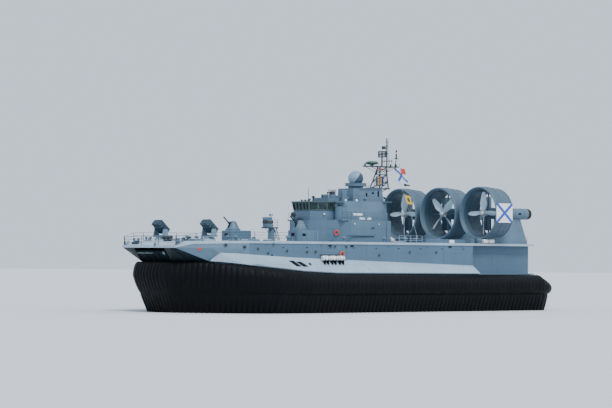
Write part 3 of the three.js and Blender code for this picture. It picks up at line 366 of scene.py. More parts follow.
def circle(centre: Array, radius: float, count: int) -> Array:
    """Return evenly spaced points round a level circle."""
    turn = ring_angles(count)
    return np.asarray(centre, float) + radius * np.stack([np.cos(turn), np.sin(turn), 0 * turn], axis=-1)


def distances(path: Array) -> Array:
    """Return how far along a path each of its points is."""
    return np.concatenate([[0], np.cumsum(np.linalg.norm(np.diff(path, axis=0), axis=1))])


def values_at(at: Array, length: Array, rows: Array) -> Array:
    """Return rows of values between those known at some lengths, column by column."""
    return np.stack([np.interp(at, length, column) for column in np.asarray(rows).T], axis=-1)


# Finishes


def linear(hex_colour: int) -> Array:
    """Return a display colour as linear red, green and blue, by the usual 2.4 power curve."""
    parts = np.array([(hex_colour >> shift & 255) / 255 for shift in (16, 8, 0)])
    return np.where(parts <= 0.04045, parts / 12.92, ((parts + 0.055) / 1.055) ** 2.4)


def rgba(colour: Array) -> tuple[float, float, float, float]:
    """Return a linear colour with full cover."""
    return (*np.clip(colour, 0, 1).tolist(), 1.0)


class Graph:
    """A material's node graph, with short calls that add nodes and join them."""

    def __init__(self, name: str) -> None:
        """Start a material of this name with its shader and its object coordinates."""
        self.material = bpy.data.materials.new(name)
        self.material.use_nodes = True
        self.tree = self.material.node_tree
        self.shader = self.tree.nodes["Principled BSDF"]
        self.place = self.tree.nodes.new("ShaderNodeTexCoord").outputs["Object"]

    def put(self, socket: Socket, value: object) -> None:
        """Join an output to a socket, or set the socket to a value."""
        if isinstance(value, Socket):
            self.tree.links.new(value, socket)
        else:
            socket.default_value = value

    def node(
        self, kind: str, output: str | int = 0, settings: dict | None = None, **inputs: object
    ) -> Socket:
        """Add a node.

        Args:
            kind: The node's type after ShaderNode.
            output: Which output to return.
            settings: Node properties to set.
            inputs: Input values or joined outputs, spaces written as underscores.

        Returns:
            The chosen output socket.
        """
        made = self.tree.nodes.new(f"ShaderNode{kind}")
        for key, value in (settings or {}).items():
            setattr(made, key, value)
        for key, value in inputs.items():
            self.put(made.inputs[key.replace("_", " ")], value)
        return made.outputs[output]

    def shade(self, **inputs: object) -> None:
        """Set or join inputs of the shader, their names' spaces written as underscores."""
        for key, value in inputs.items():
            self.put(self.shader.inputs[key.replace("_", " ")], value)

    def split(self, vector: Socket) -> tuple[Socket, Socket, Socket]:
        """Return a vector's three parts."""
        parts = self.tree.nodes.new("ShaderNodeSeparateXYZ")
        self.put(parts.inputs[0], vector)
        return tuple(parts.outputs)

    def worn(self, colour: Array, share: float, patches: Socket) -> Socket:
        """Return a colour that is darker and lighter by a share in patches."""
        return self.mix(patches, rgba(colour * (1 - share)), rgba(colour * (1 + share)))

    def sum(self, kind: str, first: object, second: object = 0.0, third: object = 0.5) -> Socket:
        """Add a math node of this kind and return its value."""
        made = self.tree.nodes.new("ShaderNodeMath")
        made.operation = kind
        for socket, value in zip(made.inputs, (first, second, third)):
            self.put(socket, value)
        return made.outputs[0]

    def mix(self, share: object, first: object, second: object) -> Socket:
        """Mix two colours by a share and return the colour."""
        made = self.tree.nodes.new("ShaderNodeMix")
        made.data_type = "RGBA"
        for number, value in ((0, share), (6, first), (7, second)):
            self.put(made.inputs[number], value)
        return made.outputs[2]

    def spread(self, value: object, low: float, high: float, to_low: float, to_high: float) -> Socket:
        """Map a value from one range to another, held at its ends."""
        return self.node(
            "MapRange", "Result", None,
            Value=value, From_Min=low, From_Max=high, To_Min=to_low, To_Max=to_high,
        )

    def stretched(self, scale: tuple, turn: tuple = ORIGIN) -> Socket:
        """Return object coordinates scaled, and turned by angles in radians."""
        return self.node("Mapping", 0, None, Vector=self.place, Scale=scale, Rotation=turn)

    def noise(self, scale: float, place: object = None, detail: float = 3.0) -> Socket:
        """Return a noise value."""
        where = self.place if place is None else place
        return self.node("TexNoise", "Fac", None, Vector=where, Scale=scale, Detail=detail)

    def dent(self, height: object, strength: float, distance: float) -> Socket:
        """Return a bumped normal from a height."""
        return self.node("Bump", 0, None, Height=height, Strength=strength, Distance=distance)


class Plane(Enum):
    """Which two directions a pattern of plates follows: along and up the sides, or over a deck."""

    SIDE = "side"
    DECK = "deck"


@dataclass(frozen=True)
class Zone:
    """Another colour beyond a plane: where side |X| + along Y + up Z is over start, in real metres."""

    colour: int
    side: float
    along: float
    up: float
    start: float

    def cover(self, graph: Graph) -> Socket:
        """Return one inside the zone and nought outside it."""
        x, y, z = graph.split(graph.place)
        sizes = ((graph.sum("ABSOLUTE", x), self.side), (y, self.along), (z, self.up))
        terms = [graph.sum("MULTIPLY", way, size / MODEL_SCALE) for way, size in sizes]
        whole = graph.sum("ADD", graph.sum("ADD", terms[0], terms[1]), terms[2])
        return graph.sum("GREATER_THAN", whole, self.start - self.along * MIDDLE[1])


@dataclass(frozen=True)
class Finish:
    """A finish: its material's name, its main colour and the record's slot for pieces made of it."""

    name: str
    colour: int
    slot: str = field(default="", kw_only=True)

    def material(self) -> bpy.types.Material:
        """Return the finish's material, made once."""
        known = bpy.data.materials.get(self.name)
        if known:
            return known
        graph = Graph(self.name)
        self.fill(graph, linear(self.colour))
        return graph.material

    def fill(self, graph: Graph, base: Array) -> None:
        """Join the finish's nodes to the shader."""
        raise NotImplementedError


@dataclass(frozen=True)
class Paint(Finish):
    """A weathered painted surface: patches, run marks, welded plate seams and a fine grain."""

    roughness: float = 0.5
    metallic: float = 0.0
    patch: float = 0.1
    streak: float = 0.12
    seam: float = 0.0
    plane: Plane = Plane.SIDE
    grain: float = 0.12
    coat: float = 0.0
    gloss: float = 0.4
    zones: tuple = ()

    def fill(self, graph: Graph, base: Array) -> None:
        """Join patches, dark runs, dried salt, the zones, plate seams and grain."""
        patches = graph.spread(graph.noise(0.45, detail=5.0), 0.3, 0.7, 0.0, 1.0)
        runs = graph.noise(1.0, graph.stretched((5.0, 5.0, 0.35)), 4.0)
        salt = graph.noise(1.0, graph.stretched((9.0, 9.0, 0.8)), 5.0)
        dark, pale = rgba(base * 0.45 + 0.01), rgba(base * 0.6 + 0.3)
        colour = graph.worn(base, self.patch, patches)
        colour = graph.mix(graph.spread(runs, 0.52, 0.8, 0.0, self.streak * 2), colour, dark)
        colour = graph.mix(graph.spread(salt, 0.62, 0.85, 0.0, self.streak), colour, pale)
        for zone in self.zones:
            other = graph.worn(linear(zone.colour), self.patch, patches)
            colour = graph.mix(zone.cover(graph), colour, other)
        height = graph.sum("MULTIPLY", graph.noise(60.0, detail=2.0), self.grain)
        if self.seam:
            line = self.seams(graph)
            colour = graph.mix(graph.sum("MULTIPLY", line, self.seam), colour, rgba(base * 0.5))
            height = graph.sum("SUBTRACT", height, line)
        sheen = graph.spread(graph.noise(3.0), 0.3, 0.7, self.roughness - 0.08, self.roughness + 0.1)
        graph.shade(
            Base_Color=colour, Roughness=sheen, Metallic=self.metallic, Coat_Weight=self.coat,
            Specular_IOR_Level=self.gloss, Normal=graph.dent(height, 0.5, 0.01),
        )

    def seams(self, graph: Graph) -> Socket:
        """Return one on the seams between plates and nought elsewhere: a running bond of long plates."""
        x, y, z = graph.split(graph.place)
        across, rise = (graph.sum("ADD", x, y), z) if self.plane is Plane.SIDE else (y, x)
        flat = graph.node("CombineXYZ", 0, None, X=across, Y=rise, Z=0.0)
        return graph.node(
            "TexBrick", "Fac", {"offset": 0.37}, Vector=flat, Scale=1.0, Mortar_Size=0.007,
            Mortar_Smooth=0.3, Brick_Width=1.9, Row_Height=0.72,
        )


@dataclass(frozen=True)
class Rubber(Finish):
    """Coated fabric of the skirt: dark, with a dull sheen, dried salt, scuffs, and a lower half darkened
    partly as wet cloth and partly as painted shade.
    """

    dust: int
    roughness: float = 0.62
    wet_and_shaded_below: float = 3.3
    dry_and_unshaded_above: float = 4.5

    def fill(self, graph: Graph, base: Array) -> None:
        """Join scuffs that run down, patches, the darker lower half (wet cloth and painted shade) and the
        weave.
        """
        scuffs = graph.noise(1.0, graph.stretched((7.0, 7.0, 0.5)), 6.0)
        colour = graph.mix(graph.spread(scuffs, 0.45, 0.75, 0.0, 0.5), rgba(base), rgba(linear(self.dust)))
        patches = graph.noise(0.7, detail=4.0)
        colour = graph.mix(graph.spread(patches, 0.4, 0.75, 0.0, 0.35), colour, rgba(base * 0.5))
        # Darker towards the floor: partly wet cloth, partly painted shade on the bag's lower side, which
        # faces away from the sky.
        height = graph.split(graph.place)[2]
        wet_and_shaded = graph.spread(height, self.wet_and_shaded_below / MODEL_SCALE, self.dry_and_unshaded_above / MODEL_SCALE, 1.0, 0.0)
        turned = graph.stretched((1, 1, 1), (0.6, 0.6, 0.6))
        weave = graph.node("TexWave", "Fac", None, Vector=turned, Scale=30.0, Distortion=1.5)
        relief = graph.sum("ADD", graph.sum("MULTIPLY", weave, 0.15), graph.sum("MULTIPLY", scuffs, 0.5))
        graph.shade(
            Base_Color=graph.mix(wet_and_shaded, colour, rgba(base * 0.12)),
            Roughness=graph.spread(scuffs, 0.3, 0.7, self.roughness - 0.1, self.roughness + 0.12),
            Specular_IOR_Level=0.14, Normal=graph.dent(relief, 0.35, 0.01),
        )


@dataclass(frozen=True)
class Glass(Finish):
    """Tinted window glass with faint ripples and dried salt."""

    transmission: float = 0.75

    def fill(self, graph: Graph, base: Array) -> None:
        """Join the tint, the smears and the ripples."""
        smear = graph.spread(graph.noise(3.0, detail=3.0), 0.5, 0.85, 0.0, 0.25)
        graph.shade(
            Base_Color=graph.mix(smear, rgba(base), rgba(base * 0.5 + 0.3)),
            Roughness=graph.spread(smear, 0.0, 0.35, 0.04, 0.2),
            Transmission_Weight=self.transmission, IOR=1.5,
            Normal=graph.dent(graph.noise(2.5), 0.1, 0.01),
        )


class Design(Enum):
    """Patterns of a signal flag or plate."""

    PLAIN = "plain"
    SALTIRE = "saltire"
    STRIPES = "stripes"
    SQUARE = "square"


@dataclass(frozen=True)
class Bunting(Finish):
    """Woven flag cloth or a painted plate, its design laid out on the piece's own UV map."""

    mark: int
    design: Design = Design.PLAIN
    arm: float = 0.09
    weave: float = 0.4
    stripes: float = 2.5
    square_half: float = 0.24

    def fill(self, graph: Graph, base: Array) -> None:
        """Join the faded design and the threads."""
        chart = graph.tree.nodes.new("ShaderNodeTexCoord").outputs["UV"]
        u, v, _ = graph.split(chart)
        faded = graph.spread(graph.noise(5.0, detail=4.0), 0.3, 0.75, 0.0, 0.18)
        drawn = linear(self.mark)
        ground = graph.mix(faded, rgba(base), rgba(base * 0.75))
        mark = graph.mix(faded, rgba(drawn), rgba(drawn * 0.7 + 0.05))
        threads = [
            graph.node("TexWave", "Fac", {"bands_direction": way}, Vector=chart, Scale=28.0, Distortion=0.3)
            for way in ("X", "Y")
        ]
        graph.shade(
            Base_Color=graph.mix(self.cover(graph, u, v), ground, mark), Roughness=0.75, Sheen_Weight=0.2,
            Normal=graph.dent(graph.sum("ADD", *threads), self.weave, 0.004),
        )

    def cover(self, graph: Graph, u: Socket, v: Socket) -> object:
        """Return where the mark is.

        Args:
            graph: The material's graph.
            u: Share along the piece.
            v: Share up the piece.

        Returns:
            One within an arm's width of the diagonals, in every other stripe or in the middle square.
        """
        if self.design is Design.SALTIRE:
            rising = graph.sum("ABSOLUTE", graph.sum("SUBTRACT", u, v))
            falling = graph.sum("ABSOLUTE", graph.sum("SUBTRACT", graph.sum("ADD", u, v), 1.0))
            return graph.sum("LESS_THAN", graph.sum("MINIMUM", rising, falling), self.arm)
        if self.design is Design.STRIPES:
            return graph.sum("GREATER_THAN", graph.sum("FRACT", graph.sum("MULTIPLY", u, self.stripes)), 0.5)
        if self.design is Design.SQUARE:
            sides = [graph.sum("ABSOLUTE", graph.sum("SUBTRACT", way, 0.5)) for way in (u, v)]
            return graph.sum("LESS_THAN", graph.sum("MAXIMUM", *sides), self.square_half)
        return 0.0


BRIDGE_GREEN, BOW_BLACK_AND_SHADE, HOUSE_GREY, WEAPON_BLUE = 0x3C5152, 0x07191F, 0x566F82, 0x2B414B
BRIDGE_BAND = Zone(BRIDGE_GREEN, 0, 0, 1, 12.44)
# Dark front of the bow cheeks: the bow's dark paint, made darker still as painted shade of the face that
# looks forward and down under the deck's edge.
CHEEK_DARK_AND_SHADE = Zone(BOW_BLACK_AND_SHADE, -4.05, 1.48, 0, -61.21)
ARM_HEAD = Zone(WEAPON_BLUE, 0, 0, 1, 9.85)
# Painted shade: the radar ball is darker on its lower, aft and outer side, away from the light.
BALL_SHADE = Zone(0x34495A, 0.6, 0.8, -0.7, -7.38)

HULL = Paint("hull_grey", 0x506B80, seam=0.3, slot="hull_paint")
HOUSE = Paint("house_grey", HOUSE_GREY, seam=0.3, slot="house_paint")
LIGHT = Paint("light_grey", 0x9BAFBF, seam=0.25, slot="light_paint")
DECK = Paint(
    "deck_grey", 0xA0B1BF, 0.75, seam=0.2, plane=Plane.DECK, grain=0.5, streak=0.08, slot="deck_paint"
)
BOW_HULL = Paint("bow_hull_grey", 0x61798B, seam=0.3, zones=(CHEEK_DARK_AND_SHADE,))
# The bow ramp and its ribs: dark paint, made darker still as painted shade under the deck's overhang.
BOW_DARK_AND_SHADE = Paint("bow_black_green_and_shade", BOW_BLACK_AND_SHADE, 0.6, seam=0.15, streak=0.06, gloss=0.2, slot="dark_paint")
# Pale bar across the bow ramp: partly its paint, partly a painted highlight along the bar.
RAMP_BAR_AND_HIGHLIGHT = Paint("ramp_bar_highlight", 0x6F868F, 0.6, slot="light_paint")
BRIDGE_WALLS = Paint("bridge_walls", HOUSE_GREY, zones=(BRIDGE_BAND,))
BRIDGE_TRIM = Paint("bridge_trim", 0x4A5F60, 0.45)
MAST_DARK = Paint("mast_dark", 0x2F3A42, slot="dark_paint")
LAUNCHER_ARM = Paint("launcher_arm", 0x6E8798, zones=(ARM_HEAD,), slot="dark_paint")
WEAPON_DARK = Paint("weapon_blue_black", WEAPON_BLUE, 0.45, metallic=0.1, slot="dark_paint")
GUN_STEEL = Paint("gun_steel", 0x2C3134, 0.35, metallic=0.7)
STEEL = Paint("worn_steel", 0x9AA2A6, 0.35, metallic=0.8, patch=0.15)
# Near-black: painted shade inside openings, vents, slots, grooves and scuppers, under the side platform,
# along the shield's foot and on the parts under the hull; also the colour of a few small dark parts.
DARK_PAINT_AND_SHADE = Paint("dark_paint_and_painted_shade", 0x0A1014, 0.7, streak=0.02, gloss=0.15)
DUCT_SHELL = Paint("duct_shell", 0x4B6170, seam=0.15, streak=0.16)
DUCT_INSIDE = Paint("duct_inside", 0x37515F, streak=0.18)
EXHAUST = Paint("exhaust_soot", 0x2A211C, 0.7, metallic=0.3, streak=0.2)
BLADE = Paint("blade_pale_blue", 0xBFD6E2, 0.35, streak=0.05, coat=0.2, slot="blade_metal")
SPINNER = Paint("spinner_silver", 0xC2C6CA, 0.32, metallic=0.5, streak=0.05, slot="blade_metal")
DOME = Paint("dome_cover", 0x7D98AD, 0.42, streak=0.06, zones=(BALL_SHADE,), slot="dome_plastic")
GREEN = Paint("antenna_green", 0x2F5A4E, 0.4, streak=0.05, slot="green_plastic")
WHITE = Paint("raft_white", 0xE9ECEC, 0.45, streak=0.08)
ORANGE = Paint("rescue_orange", 0xE0492A, streak=0.04)
MARK_RED = Paint("mark_red", 0xC8423A, streak=0.05)
LAMP = Paint("lamp_pearl", 0xE6E4D2, 0.2, streak=0.0, coat=0.5)
ROPE = Paint("rope_grey", 0xB8B8AE, 0.8, grain=0.6)
FLOOR_PALE = Paint("floor_pale", 0xD5DADD, 0.85, patch=0.015, streak=0.0, grain=0.02)
SKIRT = Rubber("cushion_fabric", 0x0E1A26, 0x2C4258, 0.58, slot="skirt_rubber")
WINDOW = Glass("window_tint", 0x5B706C, 0.6)
PORT_GLASS = Glass("port_glass", 0x1E2A2C, 0.2)
DARK_GLASS = Glass("dark_glass", 0x0B1114, 0.0)
SALTIRE_PLATE = Bunting("saltire_plate_paint", 0xF2F1EE, 0x1F4FB5, Design.SALTIRE, 0.105, 0.02)
FLAG_BLUE_YELLOW = Bunting("flag_blue_yellow", 0x1E3F95, 0xF0C22B, Design.STRIPES)
FLAG_SALTIRE = Bunting("flag_white_saltire", 0xECEFF2, 0x2F6DC4, Design.SALTIRE, 0.13)
FLAG_YELLOW = Bunting("flag_yellow_square", 0xF0C231, 0x1B1C20, Design.SQUARE)
FLAG_ORANGE = Bunting("flag_orange", 0xE4562C, 0xE4562C)
FLAG_RED = Bunting("flag_red", 0xD03A2C, 0xD03A2C)
FLAG_BLACK = Bunting("flag_black", 0x18191D, 0x18191D)


# Pieces


def piece(
    name: str, shape: Shape, finish: Finish, body: str = "hull", slot: str | None = None
) -> bpy.types.Object:
    """Make a named piece of the craft.

    Args:
        name: The piece's name.
        shape: Its surface in real metres.
        finish: The finish that gives its material.
        body: The frame's body that carries it.
        slot: The record's material slot, the finish's own if not given, and none if empty; it is not used.

    Returns:
        The new object, standing at the origin with its place in its mesh.
    """
    mesh = bpy.data.meshes.new(name)
    faces = [row for rows in shape.faces for row in rows.tolist()]
    mesh.from_pydata(((shape.points - MIDDLE) * MODEL_SCALE).tolist(), [], faces)
    mesh.update()
    mesh.shade_smooth()
    mesh.set_sharp_from_angle(angle=math.radians(SHARP_DEGREES))
    mesh.materials.append(finish.material())
    made = bpy.data.objects.new(name, mesh)
    bpy.context.scene.collection.objects.link(made)
    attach(made, body)
    slot = finish.slot if slot is None else slot
    log.info("piece %s on %s with %d faces", name, body, len(faces))
    return made


def sided(name: str, shape: Shape, finish: Finish, body: str = "", slot: str | None = None) -> None:
    """Make a port piece and its mirror image, on the hull or on the body of each side."""
    for side, own in zip(SIDES, (shape, shape.mirrored())):
        piece(f"{name}_{side}", own, finish, f"{body}_{side}" if body else "hull", slot)


def lay_chart(made: bpy.types.Object, places: Array) -> None:
    """Give a piece a UV map from the chart place of each of its points."""
    chart = made.data.uv_layers.new(name="chart")
    corners = np.zeros(len(made.data.loops), np.int64)
    made.data.loops.foreach_get("vertex_index", corners)
    chart.data.foreach_set("uv", places[corners].astype(np.float32).ravel())


def dress(finish: Finish, *nodes: str) -> None:
    """Give CAD nodes a finish in their own material slots."""
    for name in nodes:
        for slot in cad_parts[name].material_slots:
            slot.material = finish.material()


def pairs(*names: str) -> list[str]:
    """Return the names of paired nodes."""
    return [f"{name}_{side}" for name in names for side in SIDES]


def dress_frame() -> None:
    """Give the CAD nodes their finishes."""
    dress(HULL, "stern_ramp", *pairs("hull_side", "aft_side_deck", "fan_intake"))
    dress(HOUSE, "superstructure_lower", "superstructure_aft", "superstructure_upper", "sighting_cabin")
    dress(HOUSE, *pairs("gun_deckhouse", "gun_turret"))
    # Painted shade: the pontoon and the cushion divider under the hull are near-black as the shade inside the
    # skirt.
    dress(DARK_PAINT_AND_SHADE, "pontoon", "cushion_divider")
    dress(DECK, "main_deck")
    dress(BOW_HULL, *pairs("bow_cheek"))
    # The bow ramp's colour is partly painted shade under the deck's overhang.
    dress(BOW_DARK_AND_SHADE, "bow_ramp")
    dress(LIGHT, *pairs("side_shield"))
    dress(BRIDGE_WALLS, "wheelhouse")
    dress(BRIDGE_TRIM, "wheelhouse_roof")
    dress(WINDOW, "wheelhouse_glass")
    dress(DOME, "radar_ball")
    dress(MAST_DARK, "mast", "array_antenna")
    dress(GREEN, "oval_antenna")
    dress(GUN_STEEL, *pairs("gun_barrels"))
    dress(LAUNCHER_ARM, *pairs("launcher_fork"))
    dress(WEAPON_DARK, *pairs("launcher_box"))


# Forms that repeat

FORWARD = (PORTWARD, UP)
AFTWARD = ((-1, 0, 0), UP)
TO_PORT = (AFT, UP)
UPWARD = (PORTWARD, AFT)


def railing(path: Array, height: float, wires: int, spacing: float, radius: float) -> Shape:
    """Make a guard rail: posts at even spacing along a path of points, joined by level wires."""
    path = np.asarray(path, float)
    length = distances(path)
    count = max(2, int(round(length[-1] / spacing)) + 1)
    feet = values_at(np.linspace(0, length[-1], count), length, path)
    rise = np.array([0, 0, height])
    levels = [feet + rise * share for share in np.linspace(1, 1 / wires, wires)]
    lines = [rods(level[:-1], level[1:], radius * 0.55, 5) for level in levels]
    return together(studs(feet, rise, radius), *lines)


def ladder(
    foot: Array, head: Array, side: Array, half: float, spacing: float = 0.3, radius: float = 0.022
) -> Shape:
    """Make a ladder: two stringers from foot to head and level treads between them."""
    foot, head = np.asarray(foot, float), np.asarray(head, float)
    offset = unit(np.asarray(side, float)) * half
    stringers = rods([foot - offset, foot + offset], [head - offset, head + offset], radius, 6)
    count = max(2, int(np.linalg.norm(head - foot) / spacing))
    middle = foot + (head - foot) * ((np.arange(count) + 0.5) / count)[:, None]
    return together(stringers, rods(middle - offset, middle + offset, radius * 0.8, 5))


def disc(centre: Array, axis: Array, radius: float, depth: float, sides: int = 28) -> Shape:
    """Make a round plate with a cut edge that stands proud of its centre along the axis."""
    edge = min(0.25 * depth, 0.2 * radius)
    profile = [(0, -0.02), (radius, -0.02), (radius, depth - edge), (radius - edge, depth), (0, depth)]
    return lathed(profile, centre, axis, sides)


def port_light(centre: Array, axis: Array, radius: float = 0.17) -> tuple[Shape, Shape]:
    """Make a round window's rim and its glass."""
    proud = np.asarray(centre, float) + unit(np.asarray(axis, float)) * 0.02
    return hoop(proud, axis, radius + 0.03, 0.03, 8, 28), disc(centre, axis, radius + 0.005, 0.02, 24)


def door(centre: tuple, facing: tuple, width: float = 0.75, height: float = 1.65) -> Shape:
    """Make a weathertight door: a raised leaf in its frame, with two hinges, six dogs and a handle."""
    right, up = (np.asarray(way, float) for way in facing)
    normal = np.cross(right, up)
    centre = np.asarray(centre, float)
    leaf = slab(rounded(width, height, 0.14), 0.05, centre, right, up)
    rim = slab(rounded(width + 0.16, height + 0.16, 0.2), 0.02, centre, right, up)
    hinge_line = centre + right * width * 0.46
    hinges = [
        slab(rounded(0.16, 0.07, 0.02), 0.08, hinge_line + up * rise, right, up)
        for rise in (-height * 0.33, height * 0.33)
    ]
    dogs = [right * side * width * 0.4 + up * rise * height * 0.36 for side in (-1, 1) for rise in (-1, 0, 1)]
    lines = studs(centre + np.array(dogs) + normal * 0.03, normal * 0.05 + up * 0.05, 0.014)
    grip = studs([centre - right * width * 0.3 + normal * 0.1 - up * 0.1], up * 0.2, 0.016)
    return together(rim, leaf, *hinges, lines, grip)


@dataclass
class Skirt:
    """The inflated skirt: a ribbed bag along its attachment line and a row of fingers below it."""

    attach_half: float = 10.9
    corner_radius: float = 1.6
    stern_y: float = 28.35
    setback: float = 0.5
    finger_top: float = 1.95
    pitch: float = 0.66
    rib_columns: int = 6
    gate_half: float = 2.97
    split_y: float = -16.4
    bow_rib: float = 0.1
    side_rib: float = 0.03
    finger_groove: float = 0.17
    bow_x: tuple = (0.0, 1.5, 2.97, 3.7, 5.17, 6.7, 8.2, 9.5, 10.35, 10.8, 10.9)
    bow_y: tuple = (-26.75, -26.69, -26.52, -26.0, -24.85, -23.55, -22.1, -20.4, -18.5, -16.9, -16.4)
    form_y: tuple = (-26.75, -25.4, -24.0, -20.0, -12.7, -7.6, 16.4, 26.3, 28.35)
    form_top: tuple = (5.95, 5.95, 5.95, 5.55, 4.85, 4.62, 4.55, 4.55, 3.3)
    form_bulge: tuple = (0.85, 0.64, 0.64, 1.1, 1.75, 1.9, 1.9, 1.9, 1.35)
    form_tuck: tuple = (1.3, 1.3, 1.2, 0.7, 0.0, 0.0, 0.0, 0.0, 0.0)
    tuck_top: float = 4.4
    pressed: float = 0.28

    def line(self) -> Array:
        """Return the port attachment line in plan from the bow's middle to the stern's.

        Returns:
            Points on straight runs between the bow's rows, smoothed by a running mean, then the
            straight side, a quarter circle at the corner and the straight stern.
        """
        rows = np.stack([self.bow_x, self.bow_y], axis=-1)
        length = distances(rows)
        bow = values_at(np.linspace(0, length[-1], 400), length, rows)
        window = 25
        padding = ((window // 2, window // 2), (0, 0))
        padded = np.pad(bow, padding, mode="reflect", reflect_type="odd")
        weights = np.ones(window) / window
        bow = np.stack([np.convolve(column, weights, "valid") for column in padded.T], axis=-1)
        bow[0] = rows[0]
        turn = np.linspace(0, math.pi / 2, 40)
        inner = [self.attach_half - self.corner_radius, self.stern_y - self.corner_radius]
        arc = np.stack([np.cos(turn), np.sin(turn)], axis=-1) * self.corner_radius + inner
        side = between((self.attach_half, bow[-1, 1] + 0.1), arc[0], 300)
        stern = between(arc[-1], (0, self.stern_y), 100)
        return np.concatenate([bow, side[:-1], arc, stern[1:]])

    def section(self, station: Array, normal: Array, phase: Array) -> Array:
        """Work out the skirt's loop of points at each station.

        Args:
            station: Plan points on the attachment line.
            normal: Plan directions outwards there.
            phase: Ribs counted along the line, whole numbers in the grooves.

        Returns:
            Stations by loop points by three. The bag is most of an oval drawn in at each groove by
            the rib's depth, and the finger's face runs down from it, drawn in more towards the hem.
            Below the tuck's top the whole face moves inboard, evenly down to the floor.
        """
        y = station[:, 1]
        forms = (self.form_top, self.form_bulge, self.form_tuck)
        top, bulge, tuck = (np.interp(y, self.form_y, form)[:, None] for form in forms)
        rib = np.interp(y, [-22, -14], [self.bow_rib, self.side_rib])[:, None]
        groove = (1 - np.abs(np.sin(math.pi * phase)) ** 0.55)[:, None]
        middle, half = (top + self.finger_top) / 2, (top - self.finger_top) / 2
        share = np.linspace(0, 0.95, 20)[None]
        turn = math.pi * (0.5 - 0.87 * share)
        depth = rib * groove * np.sin(math.pi * np.clip(share * 1.1, 0, 1)) ** 0.5
        bag_out = bulge * (0.22 + 0.78 * np.cos(turn)) - depth
        bag_z = middle + half * np.sin(turn)
        down = np.linspace(0, 1, 9)[None]
        finger_dip = np.minimum(self.finger_groove, bulge * 0.2)
        face_out = bulge * (0.66 - 0.30 * down ** 1.3) - finger_dip * groove * (0.3 + 0.7 * down)
        face_z = self.finger_top * (1 - down) + 0.05 * groove * down
        ones = np.ones_like(top)
        face = np.hstack([bag_out, face_out, bulge * 0.1, 0 * ones])
        face_height = np.hstack([bag_z, face_z, 0.03 * ones, self.finger_top * ones])
        face = face - tuck * np.clip(1 - face_height / self.tuck_top, 0, None)
        out = np.hstack([-self.setback * ones, 0 * ones, face, -self.setback * ones])
        height = np.hstack([top, top, face_height, (self.finger_top + 0.45) * ones])
        plan = station[:, None] + normal[:, None] * out[..., None]
        return np.concatenate([plan, height[..., None]], axis=-1)

    def stretch(self, start: float, stop: float) -> Shape:
        """Return the port skirt between two distances along its line, a whole number of ribs long."""
        line = self.line()
        length = distances(line)
        tangent = unit(np.gradient(line, length, axis=0))
        ribs = max(1, round((stop - start) / self.pitch))
        phase = np.linspace(0, ribs, ribs * self.rib_columns + 1)
        at = start + (stop - start) * phase / ribs
        along = unit(values_at(at, length, tangent))
        normal = np.stack([along[:, 1], -along[:, 0]], axis=-1)
        return skinned(self.section(values_at(at, length, line), normal, phase))

    def build(self) -> None:
        """Make the skirt's pieces in place of the plain ones."""
        line = self.line()
        length = distances(line)
        x, y = line.T
        gate = float(length[np.argmax(x >= self.gate_half)])
        split = float(length[np.argmax(y >= self.split_y)])
        corner = float(length[np.argmax((y > 20) & (x <= self.attach_half - self.corner_radius))])
        for side in SIDES:
            for name, start, stop in (("bow", gate, split), ("side", split, corner)):
                shape = self.stretch(start, stop)
                made = piece(f"{name}_bag_{side}", shape if side == "port" else shape.mirrored(), SKIRT)
                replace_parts(made, f"skirt_{name}_{side}")
        made = piece("centre_bag", both_sides(self.stretch(0.0, gate)), SKIRT)
        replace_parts(made, "skirt_bow_centre")
        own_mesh(made)
        stern = both_sides(self.stretch(corner, float(length[-1])))
        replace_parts(piece("stern_bag", stern, SKIRT), "skirt_stern")


